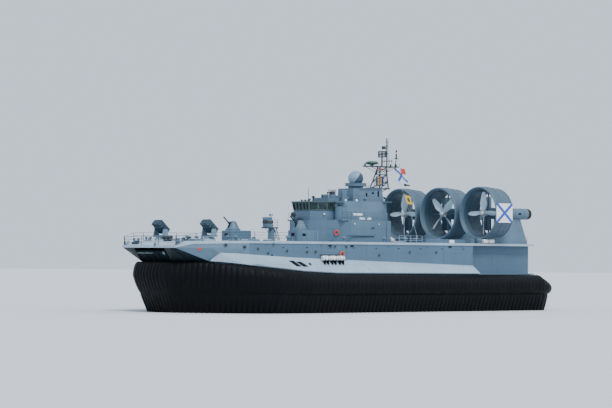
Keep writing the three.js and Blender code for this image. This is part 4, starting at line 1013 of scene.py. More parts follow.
@dataclass
class Propulsion:
    """Three ducted propellers, with their nacelles, ribs, blades and saltire plates."""

    duct_x: float = 7.45
    duct_z: float = 12.4
    lip_y: float = 19.52
    rib_rings: tuple = ((3.36, 20.75), (3.27, 21.7), (3.18, 22.6))
    liner: tuple = ((2.949, 19.95), (2.949, 20.95), (2.935, 20.95), (2.935, 19.95))
    propeller_y: float = 20.5
    hub_radius: float = 0.3
    propeller_radius: float = 2.75
    blade_points: int = 28
    spinner: tuple = (
        (0, -0.55), (0.12, -0.53), (0.24, -0.44), (0.34, -0.28), (0.39, -0.1), (0.41, 0.1),
        (0.41, 0.34), (0.2, 0.44), (0.2, 0.49), (0, 0.49),
    )
    cuff: tuple = ((0.12, 0.3), (0.15, 0.36), (0.15, 0.44), (0.1, 0.52), (0, 0.52))
    band_y: tuple = (22.3, 24.0, 25.7, 27.2)
    vent_y: tuple = (23.2, 26.4)
    mouth_y: float = 28.56
    bore: tuple = ((0.557, 27.82), (0.557, 28.55), (0.545, 28.55), (0.545, 27.82))
    cone: tuple = ((0.3, 27.8), (0.26, 28.0), (0.12, 28.3), (0, 28.38))
    soot: tuple = ((0.722, 28.1), (0.727, 28.2), (0.662, 28.64), (0.6, 28.66), (0.6, 28.6), (0.7, 28.15))
    plate_x: float = 10.93
    plate_y: float = 20.82
    plate_half: tuple = (1.42, 1.22)
    plate_depth: float = 0.07

    def drives(self) -> list[tuple[str, float, float]]:
        """Return the drives: name, distance to port and turn of the blades."""
        return [("port", self.duct_x, 0.0), ("middle", 0.0, 45.0), ("starboard", -self.duct_x, 0.0)]

    def blade(self) -> Shape:
        """Return one upright blade.

        Returns:
            Aerofoil sections whose chord, thickness and pitch change along the radius.
        """
        reach = np.linspace(0.0, 1.0, 22)
        radius = self.hub_radius + (self.propeller_radius - self.hub_radius) * reach
        chord = np.interp(reach, [0, 0.12, 0.38, 0.8, 0.97, 1.0], [0.36, 0.66, 0.92, 0.6, 0.4, 0.16])
        thick = np.interp(reach, [0, 0.2, 1.0], [0.17, 0.11, 0.025])
        pitch = np.radians(np.interp(reach, [0, 0.3, 0.6, 1.0], [62, 49, 36, 25]))[:, None]
        turn = ring_angles(self.blade_points)
        along = 0.5 * np.cos(turn)
        over = 0.5 * np.sin(turn) * (0.62 + 0.38 * np.cos(turn)) + 0.06 * (1 - (2 * along) ** 2)
        u, v = chord[:, None] * along, thick[:, None] * over
        x = u * np.cos(pitch) - v * np.sin(pitch)
        y = u * np.sin(pitch) + v * np.cos(pitch)
        return skinned(np.stack([x, y, np.broadcast_to(radius[:, None], x.shape)], axis=-1))

    def build_propeller(self, name: str, x: float, turn: float) -> None:
        """Make a drive's blades, cuffs and spinner in place of the plain propeller.

        Args:
            name: The drive's name.
            x: Its distance to port.
            turn: Degrees from upright to its first blade.
        """
        at = (x, self.propeller_y, self.duct_z)
        body = f"propeller_{name}"
        quarters = [turn + quarter for quarter in (0, 90, 180, 270)]
        blades, cuffs = (
            [shape.turned(AFT, degrees, ORIGIN) for degrees in quarters]
            for shape in (self.blade(), lathed(self.cuff, ORIGIN, UP, 20))
        )
        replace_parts(piece(f"blades_{name}", together(*blades).moved(at), BLADE, body), body)
        spinner = lathed(self.spinner, ORIGIN, AFT, 40)
        piece(f"spinner_{name}", together(spinner, *cuffs).moved(at), SPINNER, body)

    def build_duct(self, name: str, x: float) -> None:
        """Make a duct's rolled lip, outer ribs and inner liner."""
        centre = (x, 0, self.duct_z)
        ribs = [
            lathed([(r - 0.03, y - 0.05), (r + 0.045, y - 0.04), (r + 0.045, y + 0.04), (r - 0.03, y + 0.05)],
                   centre, AFT, 72, closed=True)
            for r, y in self.rib_rings
        ]
        lip = hoop((x, self.lip_y, self.duct_z), AFT, 3.29, 0.085, 14, 96)
        piece(f"duct_ribs_{name}", together(lip, *ribs), HOUSE)
        piece(f"duct_liner_{name}", lathed(self.liner, centre, AFT, 72, closed=True), DUCT_INSIDE)

    def build_nacelle(self, name: str, x: float) -> None:
        """Make a nacelle's bands and vents, and its exhaust's ring, bore, cone and soot."""
        centre = (x, 0, self.duct_z)
        bands = [hoop((x, y, self.duct_z), AFT, 0.725, 0.022, 6, 40) for y in self.band_y]
        piece(f"nacelle_bands_{name}", together(*bands), HOUSE, slot="")
        piece(f"exhaust_ring_{name}", hoop((x, self.mouth_y, self.duct_z), AFT, 0.61, 0.065, 10, 40), EXHAUST)
        bore = lathed(self.bore, centre, AFT, 40, closed=True)
        piece(f"exhaust_bore_{name}", together(bore, lathed(self.cone, centre, AFT, 24)), EXHAUST)
        # Painted shade: near-black slabs stand for the shade inside the nacelle's vents.
        vents = [slab(rounded(0.5, 0.22, 0.05), 0.03, (0.715, y, self.duct_z), *TO_PORT) for y in self.vent_y]
        piece(f"nacelle_vents_{name}", both_sides(together(*vents)).moved((x, 0, 0)), DARK_PAINT_AND_SHADE)
        piece(f"nacelle_soot_{name}", lathed(self.soot, centre, AFT, 40, closed=True), EXHAUST)

    def build_plates(self) -> None:
        """Make the white plates with a blue saltire on the outer ducts' sides, and their stays."""
        rows = np.linspace(-1, 1, 13)
        half_y, half_z = self.plate_half
        share = np.meshgrid(rows, rows, indexing="ij")
        y, z = self.plate_y + half_y * share[0], self.duct_z + half_z * share[1]
        front = np.stack([np.full_like(y, self.plate_x), y, z], axis=-1)
        back = front - np.array([self.plate_depth, 0, 0])
        loops = [
            np.concatenate([face[0], face[1:, -1], face[-1, -2::-1], face[-2:0:-1, 0]])
            for face in (front, back)
        ]
        plate = together(grid(front[:, ::-1]), grid(back), grid(np.stack(loops[::-1]), round_columns=True))
        feet = [(10.5, y, self.duct_z + z) for y in (19.9, 21.7) for z in (-0.9, 0.9)]
        stays = studs(feet, (0.38, 0, 0), 0.03, 8)
        for side, own, own_stays in zip(SIDES, (plate, plate.mirrored()), (stays, stays.mirrored())):
            made = piece(f"saltire_plate_{side}", own, SALTIRE_PLATE)
            places = (own.points[:, 1:] - (self.plate_y, self.duct_z)) / self.plate_half / 2 + 0.5
            lay_chart(made, places)
            piece(f"plate_stays_{side}", own_stays, HOUSE, slot="")

    def build(self) -> None:
        """Dress the propulsion nodes and add the detail."""
        for name, x, turn in self.drives():
            dress(DUCT_SHELL, f"duct_{name}")
            dress(HOUSE, f"pylon_{name}", f"rudder_{name}_left", f"rudder_{name}_right")
            self.build_propeller(name, x, turn)
            self.build_duct(name, x)
            self.build_nacelle(name, x)
        self.build_plates()


@dataclass
class HullSide:
    """Fittings of the hull's sides and of the sloped plates below them."""

    hull_x: float = 9.7
    ports: tuple = (
        (-18.71, 7.54), (-16.36, 8.1), (-14.28, 7.33), (-11.17, 7.23), (-9.84, 7.24),
        (-6.75, 7.92), (-4.99, 7.9), (0.4, 6.9), (5.5, 7.3), (10.0, 7.3),
    )
    chamfer_ports: tuple = ((8.27, -22.4, 7.96), (9.41, -20.5, 7.75))
    chamfer_out: tuple = (0.83, -0.53, -0.12)
    mark_at: tuple = (6.56, -24.93, 7.47)
    mark_facing: tuple = ((0.525, 0.85, 0), (0.225, -0.139, 0.963))
    buoy_y: float = -5.7
    fairlead_y: tuple = (-7.55, -4.03, 12.4)
    fairlead_z: float = 8.02
    eye_y: tuple = (-17.5, -9.0, 1.8, 8.5, 14.6)
    triangles: tuple = ((-17.19, 7.08), (-16.58, 6.85))
    slots: tuple = ((-14.33, 6.16, -13.55, 5.5), (-13.24, 6.04, -12.46, 5.5))
    slot_width: float = 0.72
    hatch: tuple = (4.16, 5.55)
    shield_y: tuple = (-20.0, -12.7, -7.6, 16.4)
    shield_top_z: tuple = (6.9, 6.55, 6.4, 5.7)
    shield_foot_x: tuple = (10.0, 11.0, 11.05, 11.05)
    shield_foot_z: tuple = (5.76, 5.05, 4.82, 4.75)
    raft_at: tuple = (10.1, 6.5)
    raft_y: tuple = (-8.6, -7.4, -6.2)
    canister: tuple = (
        (0, -0.52), (0.22, -0.51), (0.3, -0.46), (0.32, -0.38), (0.32, -0.03), (0.34, -0.02),
        (0.34, 0.02), (0.32, 0.03), (0.32, 0.38), (0.3, 0.46), (0.22, 0.51), (0, 0.52),
    )

    def on_shield(self, y: float, z: float) -> tuple[Array, Array]:
        """Return the port shield's surface point at a station and height, and its outward direction."""
        columns = (self.shield_top_z, self.shield_foot_x, self.shield_foot_z)
        top_z, foot_x, foot_z = (np.interp(y, self.shield_y, column) for column in columns)
        flare, fall = foot_x - self.hull_x, top_z - foot_z
        point = np.array([self.hull_x + flare * (top_z - z) / fall, y, z])
        return point, unit(np.array([fall, 0.0, flare]))

    def near_foot(self, y: float, rise: float = 0.0) -> Array:
        """Return the shield's surface point at a station, a little above its foot."""
        return self.on_shield(y, np.interp(y, self.shield_y, self.shield_foot_z) + rise)[0]

    def patch(self, corners: list[tuple[float, float]], depth: float) -> Shape:
        """Raise a flat plate from the port shield through corners given by station and height."""
        points = np.array([self.on_shield(y, z)[0] for y, z in corners])
        normal = self.on_shield(*corners[0])[1]
        return skinned(np.stack([points - normal * 0.02, points + normal * depth]))

    def build_ports(self) -> None:
        """Make the round windows of the hull's side and of the bow's chamfer, and the chamfer's mark."""
        chamfer = unit(np.array(self.chamfer_out))
        places = [((self.hull_x, y, z), PORTWARD) for y, z in self.ports]
        places += [(centre, chamfer) for centre in self.chamfer_ports]
        places.append(self.on_shield(-11.22, 5.8))
        rims, panes = zip(*[port_light(centre, axis) for centre, axis in places])
        sided("hull_port_rims", together(*rims), HULL)
        sided("hull_port_glass", together(*panes), PORT_GLASS)
        sided("red_mark", slab(rounded(0.4, 0.32, 0.04), 0.02, self.mark_at, *self.mark_facing), MARK_RED)

    def build_side(self) -> None:
        """Make the lifebuoy, seam, strake, eyes, fairleads, triangles and scuppers of the hull's side."""
        x, buoy_y = self.hull_x, self.buoy_y
        sided("hull_buoy", hoop((x + 0.1, buoy_y, 6.97), PORTWARD, 0.3, 0.075, 10, 36), ORANGE)
        cradle = studs([(x, buoy_y + shift, 6.62) for shift in (-0.2, 0.2)], (0.2, 0, 0), 0.02, 8)
        seam = blocks([(x - 0.01, 11.3, 5.9)], [(x + 0.025, 11.36, 8.2)], 0.008)
        strake = blocks([(x - 0.01, -19.9, 8.12)], [(x + 0.05, 16.3, 8.21)], 0.015)
        oval = hoop(ORIGIN, PORTWARD, 0.72, 0.02, 6, 48)
        oval = Shape(oval.points * np.array([1.0, 1.0, 0.4]), oval.faces).moved((x + 0.01, -7.31, 7.9))
        eyes = [hoop((x + 0.05, y, 8.0), AFT, 0.08, 0.022, 6, 16) for y in self.eye_y]
        sided("hull_side_fittings", together(cradle, seam, strake, oval, *eyes), HULL)
        holes = [(x, y, self.fairlead_z) for y in self.fairlead_y]
        # Painted shade: near-black slabs stand for the shade inside the fairlead holes.
        fairleads = [slab(rounded(0.55, 0.24, 0.12), 0.03, hole, *TO_PORT) for hole in holes]
        sided("hull_fairleads", together(*fairleads), DARK_PAINT_AND_SHADE)
        outline = rounded(0.6, 0.29, 0.14)
        ring = np.insert(np.vstack([outline, outline[:1]]), 0, 0.02, axis=1)
        sided("fairlead_rims", together(*[pipe(ring + hole, 0.03, 6) for hole in holes]), HULL)
        triangle = [(-0.17, -0.15), (0.17, -0.15), (0.0, 0.17)]
        marks = [slab(triangle, 0.012, (x, y, z), *TO_PORT, 0.004) for y, z in self.triangles]
        sided("hull_triangles", together(*marks), DARK_PAINT_AND_SHADE)
        stations = np.arange(-15.0, 16.0, 3.7)
        # Painted shade: near-black blocks stand for the shade inside the scuppers.
        scuppers = equal_blocks([(x - 0.01, y, 7.72) for y in stations], (0.022, 0.3, 0.08), 0.006)
        sided("hull_scuppers", scuppers, DARK_PAINT_AND_SHADE)

    def build_shield(self) -> None:
        """Make the slots, rungs, oval hatch, stiffeners and foot rail of the sloped side plates, and a
        painted shadow along their foot.
        """
        width = self.slot_width
        slots = [
            self.patch([(y0, z0), (y0 + width, z0), (y1 + width, z1), (y1, z1)], 0.07)
            for y0, z0, y1, z1 in self.slots
        ]
        hatch = disc(*self.on_shield(*self.hatch), 0.26, 0.07, 28)
        # Painted shadow: a near-black rod along the shield's foot, rising aft, stands for the shade above the
        # bag.
        shaded = zip(np.linspace(-19.6, -12.0, 30), np.linspace(0.05, 0.3, 30))
        shadow = np.array([self.near_foot(y, rise) for y, rise in shaded])
        sided("shield_openings_and_shadow", together(*slots, hatch, pipe(shadow, 0.028, 6)), DARK_PAINT_AND_SHADE)
        steps = [self.on_shield(-2.94 + 0.83 * share, 5.96 - 0.7 * share) for share in np.linspace(0, 1, 4)]
        starts = np.array([point + normal * 0.07 for point, normal in steps]) - [0, 0.2, 0]
        ribs = []
        for y in np.arange(-19.0, 16.2, 1.45):
            low = np.interp(y, self.shield_y, self.shield_foot_z) + 0.06
            high = np.interp(y, self.shield_y, self.shield_top_z) - 0.06
            ribs.append(self.patch([(y, low), (y + 0.05, low), (y + 0.05, high), (y, high)], 0.02))
        edge = np.array([self.near_foot(y) for y in np.linspace(-19.8, 16.2, 60)])
        foot_rail = pipe(edge + [0.02, 0, 0.0], 0.045, 8)
        sided("shield_stiffeners", together(studs(starts, (0, 0.4, 0), 0.02), foot_rail, *ribs), LIGHT)

    def build_rafts(self) -> None:
        """Make the liferaft canisters in their cradles on the sloped plate."""
        x, z = self.raft_at
        canister = lathed(self.canister, ORIGIN, AFT, 28)
        sided("raft_canisters", together(*[canister.moved((x, y, z)) for y in self.raft_y]), WHITE)
        straps = [
            hoop((x, y + shift, z), AFT, 0.335, 0.02, 6, 32) for y in self.raft_y for shift in (-0.25, 0.25)
        ]
        feet = [(9.72, y + shift, 5.75) for y in self.raft_y for shift in (-0.32, 0.2)]
        rail = studs([(9.74, -9.2, 6.9), (10.46, -9.2, 6.22)], (0, 3.6, 0), 0.03, 8)
        sided("raft_cradles", together(*straps, equal_blocks(feet, (0.73, 0.12, 0.55), 0.03), rail), DARK_PAINT_AND_SHADE)

    def build(self) -> None:
        """Make all fittings of the hull's sides."""
        self.build_ports()
        self.build_side()
        self.build_shield()
        self.build_rafts()


@dataclass
class DeckFittings:
    """Rails, bollards, hatches, vents and chests of the open deck, and the ribs of the two ramps."""

    deck_z: float = 8.5
    edge_y: tuple = (-27.2, -25.6, -20.0, 16.2)
    edge_x: tuple = (5.1, 6.1, 9.55, 9.55)
    edge_z: tuple = (7.93, 8.35, 8.5, 8.5)
    bollards: tuple = ((4.3, -26.0), (8.3, -21.2), (8.7, -13.0), (8.7, 10.4))
    bollard: tuple = (
        (0, 0), (0.13, 0.0), (0.12, 0.06), (0.12, 0.36), (0.17, 0.4), (0.17, 0.47), (0.13, 0.5), (0, 0.5)
    )
    rollers: tuple = ((5.0, -26.9), (8.9, -20.9))
    roller: tuple = ((0, 0), (0.09, 0), (0.07, 0.1), (0.07, 0.2), (0.1, 0.3), (0, 0.3))
    windlass: tuple = (
        (0, -0.75), (0.24, -0.75), (0.24, -0.6), (0.13, -0.55), (0.13, -0.25), (0.2, -0.22), (0.2, 0.22),
        (0.13, 0.25), (0.13, 0.55), (0.24, 0.6), (0.24, 0.75), (0, 0.75),
    )
    gear: tuple = (
        (-3.4, -26.75, 1.1, 0.4, 0.16), (-3.7, -26.3, 0.35, 0.5, 0.3), (-3.1, -19.3, 1.0, 0.7, 0.2),
        (-2.8, -19.1, 0.3, 0.3, 0.5), (-3.5, -19.5, 0.3, 0.3, 0.42),
    )
    hatches: tuple = (
        (0, -20.2, 1.3, 1.6), (2.6, -16.4, 0.8, 0.8), (-2.6, -16.4, 0.8, 0.8), (0, -13.6, 1.5, 1.9),
        (3.4, -12.0, 0.8, 0.8), (-3.4, -12.0, 0.8, 0.8), (7.6, -17.6, 0.9, 0.9), (-7.6, -17.6, 0.9, 0.9),
        (0, 12.2, 1.6, 2.2), (3.2, 15.0, 0.9, 0.9), (-3.2, 15.0, 0.9, 0.9),
    )
    vents: tuple = (
        (6.6, -19.6), (8.8, -13.4), (3.9, -18.6), (8.6, -4.4), (8.6, 2.2), (5.2, 10.6), (2.2, 17.6),
        (7.4, 6.9),
    )
    mushroom: tuple = (
        (0, 0), (0.14, 0), (0.14, 0.4), (0.3, 0.42), (0.32, 0.5), (0.24, 0.6), (0.1, 0.66), (0, 0.67)
    )
    drum: tuple = ((0, -0.45), (0.22, -0.44), (0.27, -0.38), (0.27, 0.38), (0.22, 0.44), (0, 0.45))
    aft_hood: tuple = ((0, 0), (0.3, 0), (0.3, 0.35), (0.4, 0.38), (0.36, 0.6), (0.18, 0.72), (0, 0.74))
    ramp_hinge: tuple = (-23.6, 3.85)
    ramp_tip: tuple = (-27.1, 7.12)
    ramp_half: float = 2.7
    bar_z: float = 6.98
    spine_x: tuple = (-2.65, -1.3, 0.0, 1.3, 2.65)
    stern_frame_z: tuple = (4.4, 5.4, 6.4, 7.4)
    stern_post_x: tuple = (-3.4, -1.7, 0, 1.7, 3.4)

    def deck_point(self, x: float, y: float) -> Array:
        """Return the deck's point at a place in plan: level, with a droop at the bow."""
        return np.array([x, y, np.interp(y, self.edge_y, self.edge_z)])

    def build_rails(self) -> None:
        """Make the guard rails along the deck's edge, forward and aft, and across the bow."""
        deck, bow_y, bow_z = self.deck_z, self.edge_y[0], self.edge_z[0]
        run = np.stack([self.edge_x[:3], self.edge_y[:3], self.edge_z[:3]], axis=-1)
        run = np.vstack([run, [(self.edge_x[3], -12.8, deck)]])
        fore = railing(run, 1.0, 3, 3.1, 0.036)
        aft = railing([(8.75, 16.7, deck), (8.75, 19.2, deck)], 0.95, 3, 1.3, 0.024)
        sided("deck_rails", together(fore, aft), MAST_DARK)
        sided("quarter_rails", railing([(8.75, 4.6, deck), (8.75, 8.5, deck)], 0.85, 3, 1.0, 0.03), LIGHT)
        across = railing([(-5.0, bow_y, bow_z), (5.0, bow_y, bow_z)], 1.0, 3, 3.3, 0.036)
        after = railing([(-7.7, 28.2, deck), (7.7, 28.2, deck)], 0.95, 3, 1.45, 0.024)
        piece("bow_and_stern_rails", together(across, after), MAST_DARK)

    def build_mooring(self) -> None:
        """Make twin bollards, roller fairleads, and the windlass, boxes and fender of the foredeck."""
        parts = []
        for x, y in self.bollards:
            foot = self.deck_point(x, y)
            parts.append(blocks([foot + (-0.22, -0.55, -0.05)], [foot + (0.22, 0.55, 0.06)], 0.03))
            parts += [lathed(self.bollard, foot + (0, shift, 0), UP, 20) for shift in (-0.32, 0.32)]
        for x, y in self.rollers:
            foot = self.deck_point(x, y)
            parts.append(blocks([foot + (-0.18, -0.3, -0.03)], [foot + (0.12, 0.3, 0.08)], 0.02))
            parts += [lathed(self.roller, foot + (0, shift, 0.05), UP, 16) for shift in (-0.2, 0.2)]
        sided("bollards", together(*parts), HOUSE)
        drum = lathed(self.windlass, (0, -24.6, 8.85), PORTWARD, 28)
        lows, highs = ((-0.45, -24.9, 8.35), (-0.14, -24.8, 8.4)), ((0.45, -24.3, 8.6), (0.14, -24.4, 9.02))
        bed = blocks(lows, highs, 0.04)
        piece("windlass", together(drum, bed), MAST_DARK)
        low, high = [], []
        for x, y, width, length, height in self.gear:
            foot = self.deck_point(x, y)
            low.append(foot - (width / 2, length / 2, 0.03))
            high.append(foot + (width / 2, length / 2, height))
        fender = rods(
            [(1.25, -27.36, 8.4), (1.25, -27.38, 8.15)], [(1.25, -27.38, 8.1), (1.25, -27.38, 7.75)],
            (0.03, 0.1), 10,
        )
        piece("deck_gear", together(blocks(low, high, 0.04), fender), MAST_DARK)

    def build_hatches(self) -> None:
        """Make deck hatches with their rims, mushroom vents, and the white chests and drums aft."""
        covers, rims = [], []
        for x, y, width, length in self.hatches:
            foot = self.deck_point(x, y)
            rims.append(slab(rounded(width + 0.2, length + 0.2, 0.14), 0.16, foot, *UPWARD))
            covers.append(slab(rounded(width, length, 0.12), 0.24, foot, *UPWARD, 0.04))
        piece("hatch_rims", together(*rims), HOUSE)
        piece("hatch_covers", together(*covers), DECK)
        vents = [lathed(self.mushroom, self.deck_point(x, y), UP, 24) for x, y in self.vents]
        sided("deck_vents", together(*vents), HOUSE)
        chest = blocks([(8.85, 12.6, 8.48)], [(9.5, 13.4, 8.88)], 0.05)
        drums = [lathed(self.drum, (8.55, y, 8.8), AFT, 24) for y in (19.7, 20.75)]
        piece("white_chests", both_sides(together(chest, *drums)), WHITE)
        sided("aft_vents", lathed(self.aft_hood, (8.5, 18.6, 8.49), UP, 26), HOUSE)

    def build_ramps(self) -> None:
        """Make the ribs, bar and plate of the bow ramp and the frames of the stern ramp."""
        hinge, tip = np.array(self.ramp_hinge), np.array(self.ramp_tip)
        reach = float(np.linalg.norm(tip - hinge))
        along = unit(tip - hinge)
        out = np.array([-along[1], along[0]])
        rows = [hinge + along * reach * share + out * 0.02 for share in np.linspace(0.3, 0.95, 9)]
        bars = studs([(-self.ramp_half, y, z) for y, z in rows], (2 * self.ramp_half, 0, 0), 0.045)
        low, high = hinge + along + out * 0.03, hinge + along * (reach - 0.05) + out * 0.03
        spines = rods([(x, *low) for x in self.spine_x], [(x, *high) for x in self.spine_x], 0.07, 6)
        piece("bow_ramp_ribs", together(bars, spines), BOW_DARK_AND_SHADE, "bow_ramp")
        # The bar and the plate are pale partly as a painted highlight on the dark bow face.
        face_y = hinge[0] + (self.bar_z - hinge[1]) * along[0] / along[1] - 0.06
        bar = studs([(-2.75, face_y, self.bar_z)], (3.05, 0, 0), 0.05, 8)
        plate = disc((2.5, face_y, self.bar_z), (0, -along[1], along[0]), 0.22, 0.05, 20)
        piece("bow_ramp_bar", together(bar, plate), RAMP_BAR_AND_HIGHLIGHT, "bow_ramp")
        frames = equal_blocks([(-3.7, 28.28, z) for z in self.stern_frame_z], (7.4, 0.1, 0.12))
        posts = equal_blocks([(x - 0.06, 28.28, 4.1) for x in self.stern_post_x], (0.12, 0.12, 3.9))
        piece("stern_ramp_frames", together(frames, posts), HULL, "stern_ramp")

    def build(self) -> None:
        """Make all fittings of the deck."""
        self.build_rails()
        self.build_mooring()
        self.build_hatches()
        self.build_ramps()


@dataclass
class Tiers:
    """Doors, pipes, vents, plates, ledges and rails of the superstructure's stepped tiers."""

    slanted: tuple = ((0.83, 0.56, 0), UP)
    hood: tuple = ((0, 0), (0.1, 0), (0.1, 0.28), (0.2, 0.3), (0.22, 0.38), (0.14, 0.46), (0, 0.48))
    vents: tuple = ((3.6, 0.6, 13.58), (3.6, 3.6, 13.58), (5.1, 2.4, 11.18), (2.6, 4.4, 13.58))
    stub: tuple = ((0, 0), (0.035, 0), (0.02, 1.5), (0, 1.52))
    stubs: tuple = ((2.2, 3.6, 13.6), (3.9, 4.9, 13.6))
    dome: tuple = ((0, 0), (0.16, 0), (0.16, 0.12), (0.13, 0.22), (0.07, 0.29), (0, 0.31))
    domes: tuple = ((2.6, 1.2, 13.58), (3.5, 2.2, 13.58))
    side_lamp: tuple = ((0, 0), (0.07, 0), (0.09, 0.06), (0.06, 0.16), (0, 0.18))
    corner_lamp: tuple = ((0, 0), (0.1, 0), (0.12, 0.05), (0.08, 0.14), (0, 0.16))
    hanging_lamp: tuple = ((0, -0.1), (0.1, -0.1), (0.14, 0.0), (0.12, 0.12), (0, 0.16))
    sight: tuple = ((0, 0), (0.05, 0), (0.05, 0.2), (0.12, 0.24), (0.12, 0.38), (0, 0.4))
    brace_y: tuple = (-0.6, 0.6, 1.8)
    box_lows: tuple = (
        (-1.1, 0.3, 14.03), (0.45, 0.2, 14.03), (-1.1, 1.9, 13.58), (0.3, 2.1, 13.58), (1.35, 1.4, 13.58)
    )
    box_highs: tuple = (
        (-0.4, 1.0, 14.5), (1.1, 0.95, 14.45), (-0.4, 2.9, 14.4), (1.0, 3.0, 14.2), (1.75, 2.2, 15.0)
    )

    def build_doors(self) -> None:
        """Make the weathertight doors of the tiers and the deckhouses."""
        leaves = [door((3.7, -2.34, 9.5), self.slanted), door((6.4, -7.58, 9.2), AFTWARD, 0.62, 1.1)]
        sided("tier_doors", together(*leaves), HOUSE)
        middle = [
            door((0.9, 8.4, 9.5), AFTWARD), door((0.0, 8.32, 12.9), AFTWARD, 0.7, 1.1),
            door((-0.9, 8.4, 9.5), AFTWARD), door((0, -4.23, 9.6), FORWARD, 0.7, 1.5),
        ]
        piece("tier_doors_middle", together(*middle), HOUSE)

    def build_side_fittings(self) -> None:
        """Make the lifebuoy, pipes, lamps, blank plates and dark openings of the tiers' sides."""
        sided("tier_buoy", hoop((4.45, -1.87, 9.66), (0.70, -0.72, 0), 0.27, 0.07, 10, 36), ORANGE)
        pipes = [
            pipe([(5.84, 5.2, 8.5), (5.84, 5.2, 11.1)], 0.035, 8),
            pipe([(1.72, 4.35, 13.6), (1.66, 4.35, 14.6), (1.58, 4.35, 15.3)], 0.05, 8),
        ]
        eyes = [hoop((5.75, y, 10.28), PORTWARD, 0.07, 0.022, 6, 14) for y in (2.74, 4.6)]
        sided("tier_pipes", together(*pipes, *eyes), HOUSE)
        lamps = [lathed(self.side_lamp, (5.7, y, 10.75), PORTWARD, 14) for y in (-0.1, 3.9)]
        lamps.append(lathed(self.corner_lamp, (3.0, -2.66, 11.95), (0.7, -0.7, 0), 16))
        sided("tier_lamps", together(*lamps), LAMP)
        plates = [
            slab(rounded(width, 0.26, 0.03), 0.03, centre, *TO_PORT)
            for width, centre in ((1.5, (4.53, 1.5, 11.95)), (1.95, (4.55, 2.75, 11.45)))
        ]
        sided("blank_plates", together(*plates), WHITE)
        # Painted shade: the near-black groove and openings stand for the shade inside them.
        openings = (
            (0.2, 0.2, 0.03, (5.72, 3.0, 10.28)), (0.24, 0.9, 0.04, (1.78, 5.4, 14.3)),
            (0.22, 1.0, 0.04, (1.78, 7.4, 14.5)), (0.34, 0.24, 0.04, (1.76, 6.5, 14.75)),
        )
        dark = [slab(rounded(wide, tall, 0.05), deep, at, *TO_PORT) for wide, tall, deep, at in openings]
        groove = blocks([(5.66, -1.3, 9.23)], [(5.83, 3.2, 9.28)], 0.01)
        sided("tier_dark_fittings", together(groove, *dark), DARK_PAINT_AND_SHADE)

    def build_ledges(self) -> None:
        """Make the tiers' ledges, the painted shade under the side platform with its near-black braces, and
        the upper block's brackets.
        """
        ledges = blocks([(2.3, 5.4, 13.58), (1.8, 4.2, 15.26)], [(3.4, 8.3, 13.66), (1.9, 8.1, 15.33)], 0.015)
        sided("tier_ledges", ledges, HOUSE)
        # Painted shade: near-black blocks and braces under the side platform stand for the shadow below it.
        lows, highs = ((5.15, -0.9, 11.0), (4.5, 0.75, 11.02)), ((5.3, 2.9, 11.15), (5.45, 2.9, 11.12))
        shade_under = blocks(lows, highs, 0.03)
        braces = studs([(5.25, y, 11.05) for y in self.brace_y], (-0.65, 0, -0.85), 0.04)
        sided("platform_painted_shade", together(shade_under, braces), DARK_PAINT_AND_SHADE)
        bracket = pipe([(1.72, 6.9, 14.55), (1.72, 7.9, 14.4), (1.72, 8.6, 14.25)], 0.05, 8)
        foot = rods([(1.72, 7.0, 13.9)], [(1.72, 8.5, 14.25)], 0.035, 6)
        lamp = lathed(self.hanging_lamp, (1.72, 8.62, 14.1), UP, 18)
        sided("upper_block_brackets", together(bracket, foot, lamp), MAST_DARK)

    def build_rails(self) -> None:
        """Make the guard rails round the tiers' roofs and the ladders between them."""
        upper = railing([(1.62, 6.9, 15.3), (1.62, 8.0, 15.3), (0.4, 8.0, 15.3)], 0.7, 2, 1.2, 0.018)
        after = railing([(3.9, 6.0, 13.6), (2.4, 8.1, 13.6), (0.6, 8.2, 13.6)], 0.7, 2, 1.3, 0.018)
        sided("tier_rails", together(upper, after), HOUSE)
        low = ladder((2.2, 8.5, 8.5), (2.2, 8.45, 12.1), PORTWARD, 0.22)
        high = ladder((1.2, 8.35, 13.6), (1.2, 8.2, 15.9), PORTWARD, 0.2)
        sided("tier_ladders", together(low, high), MAST_DARK)

    def build_roof_items(self) -> None:
        """Make the boxes, vents, domes and small aerials on the tier roofs."""
        piece("roof_boxes", blocks(self.box_lows, self.box_highs, 0.05), HOUSE)
        legs = studs([(x, y, 14.4) for x in (0.5, 1.05) for y in (0.25, 0.9)], (0, 0, 0.65), 0.035)
        table = blocks(
            [(0.42, 0.17, 14.98), (0.5, 0.3, 14.45), (-0.3, -0.35, 14.0)],
            [(1.13, 0.98, 15.05), (1.0, 0.85, 14.85), (-0.12, -0.15, 14.35)], 0.02,
        )
        sight = lathed(self.sight, (0.2, 0.3, 14.4), UP, 14)
        piece("roof_dark_fittings", together(legs, table, sight), MAST_DARK)
        vents = [lathed(self.hood, place, UP, 20) for place in self.vents]
        stubs = [lathed(self.stub, place, UP, 8) for place in self.stubs]
        sided("roof_vents", together(*vents, *stubs), HOUSE)
        sided("roof_domes", together(*[lathed(self.dome, place, UP, 22) for place in self.domes]), WHITE)

    def build(self) -> None:
        """Make all fittings of the tiers."""
        self.build_doors()
        self.build_side_fittings()
        self.build_ledges()
        self.build_rails()
        self.build_roof_items()


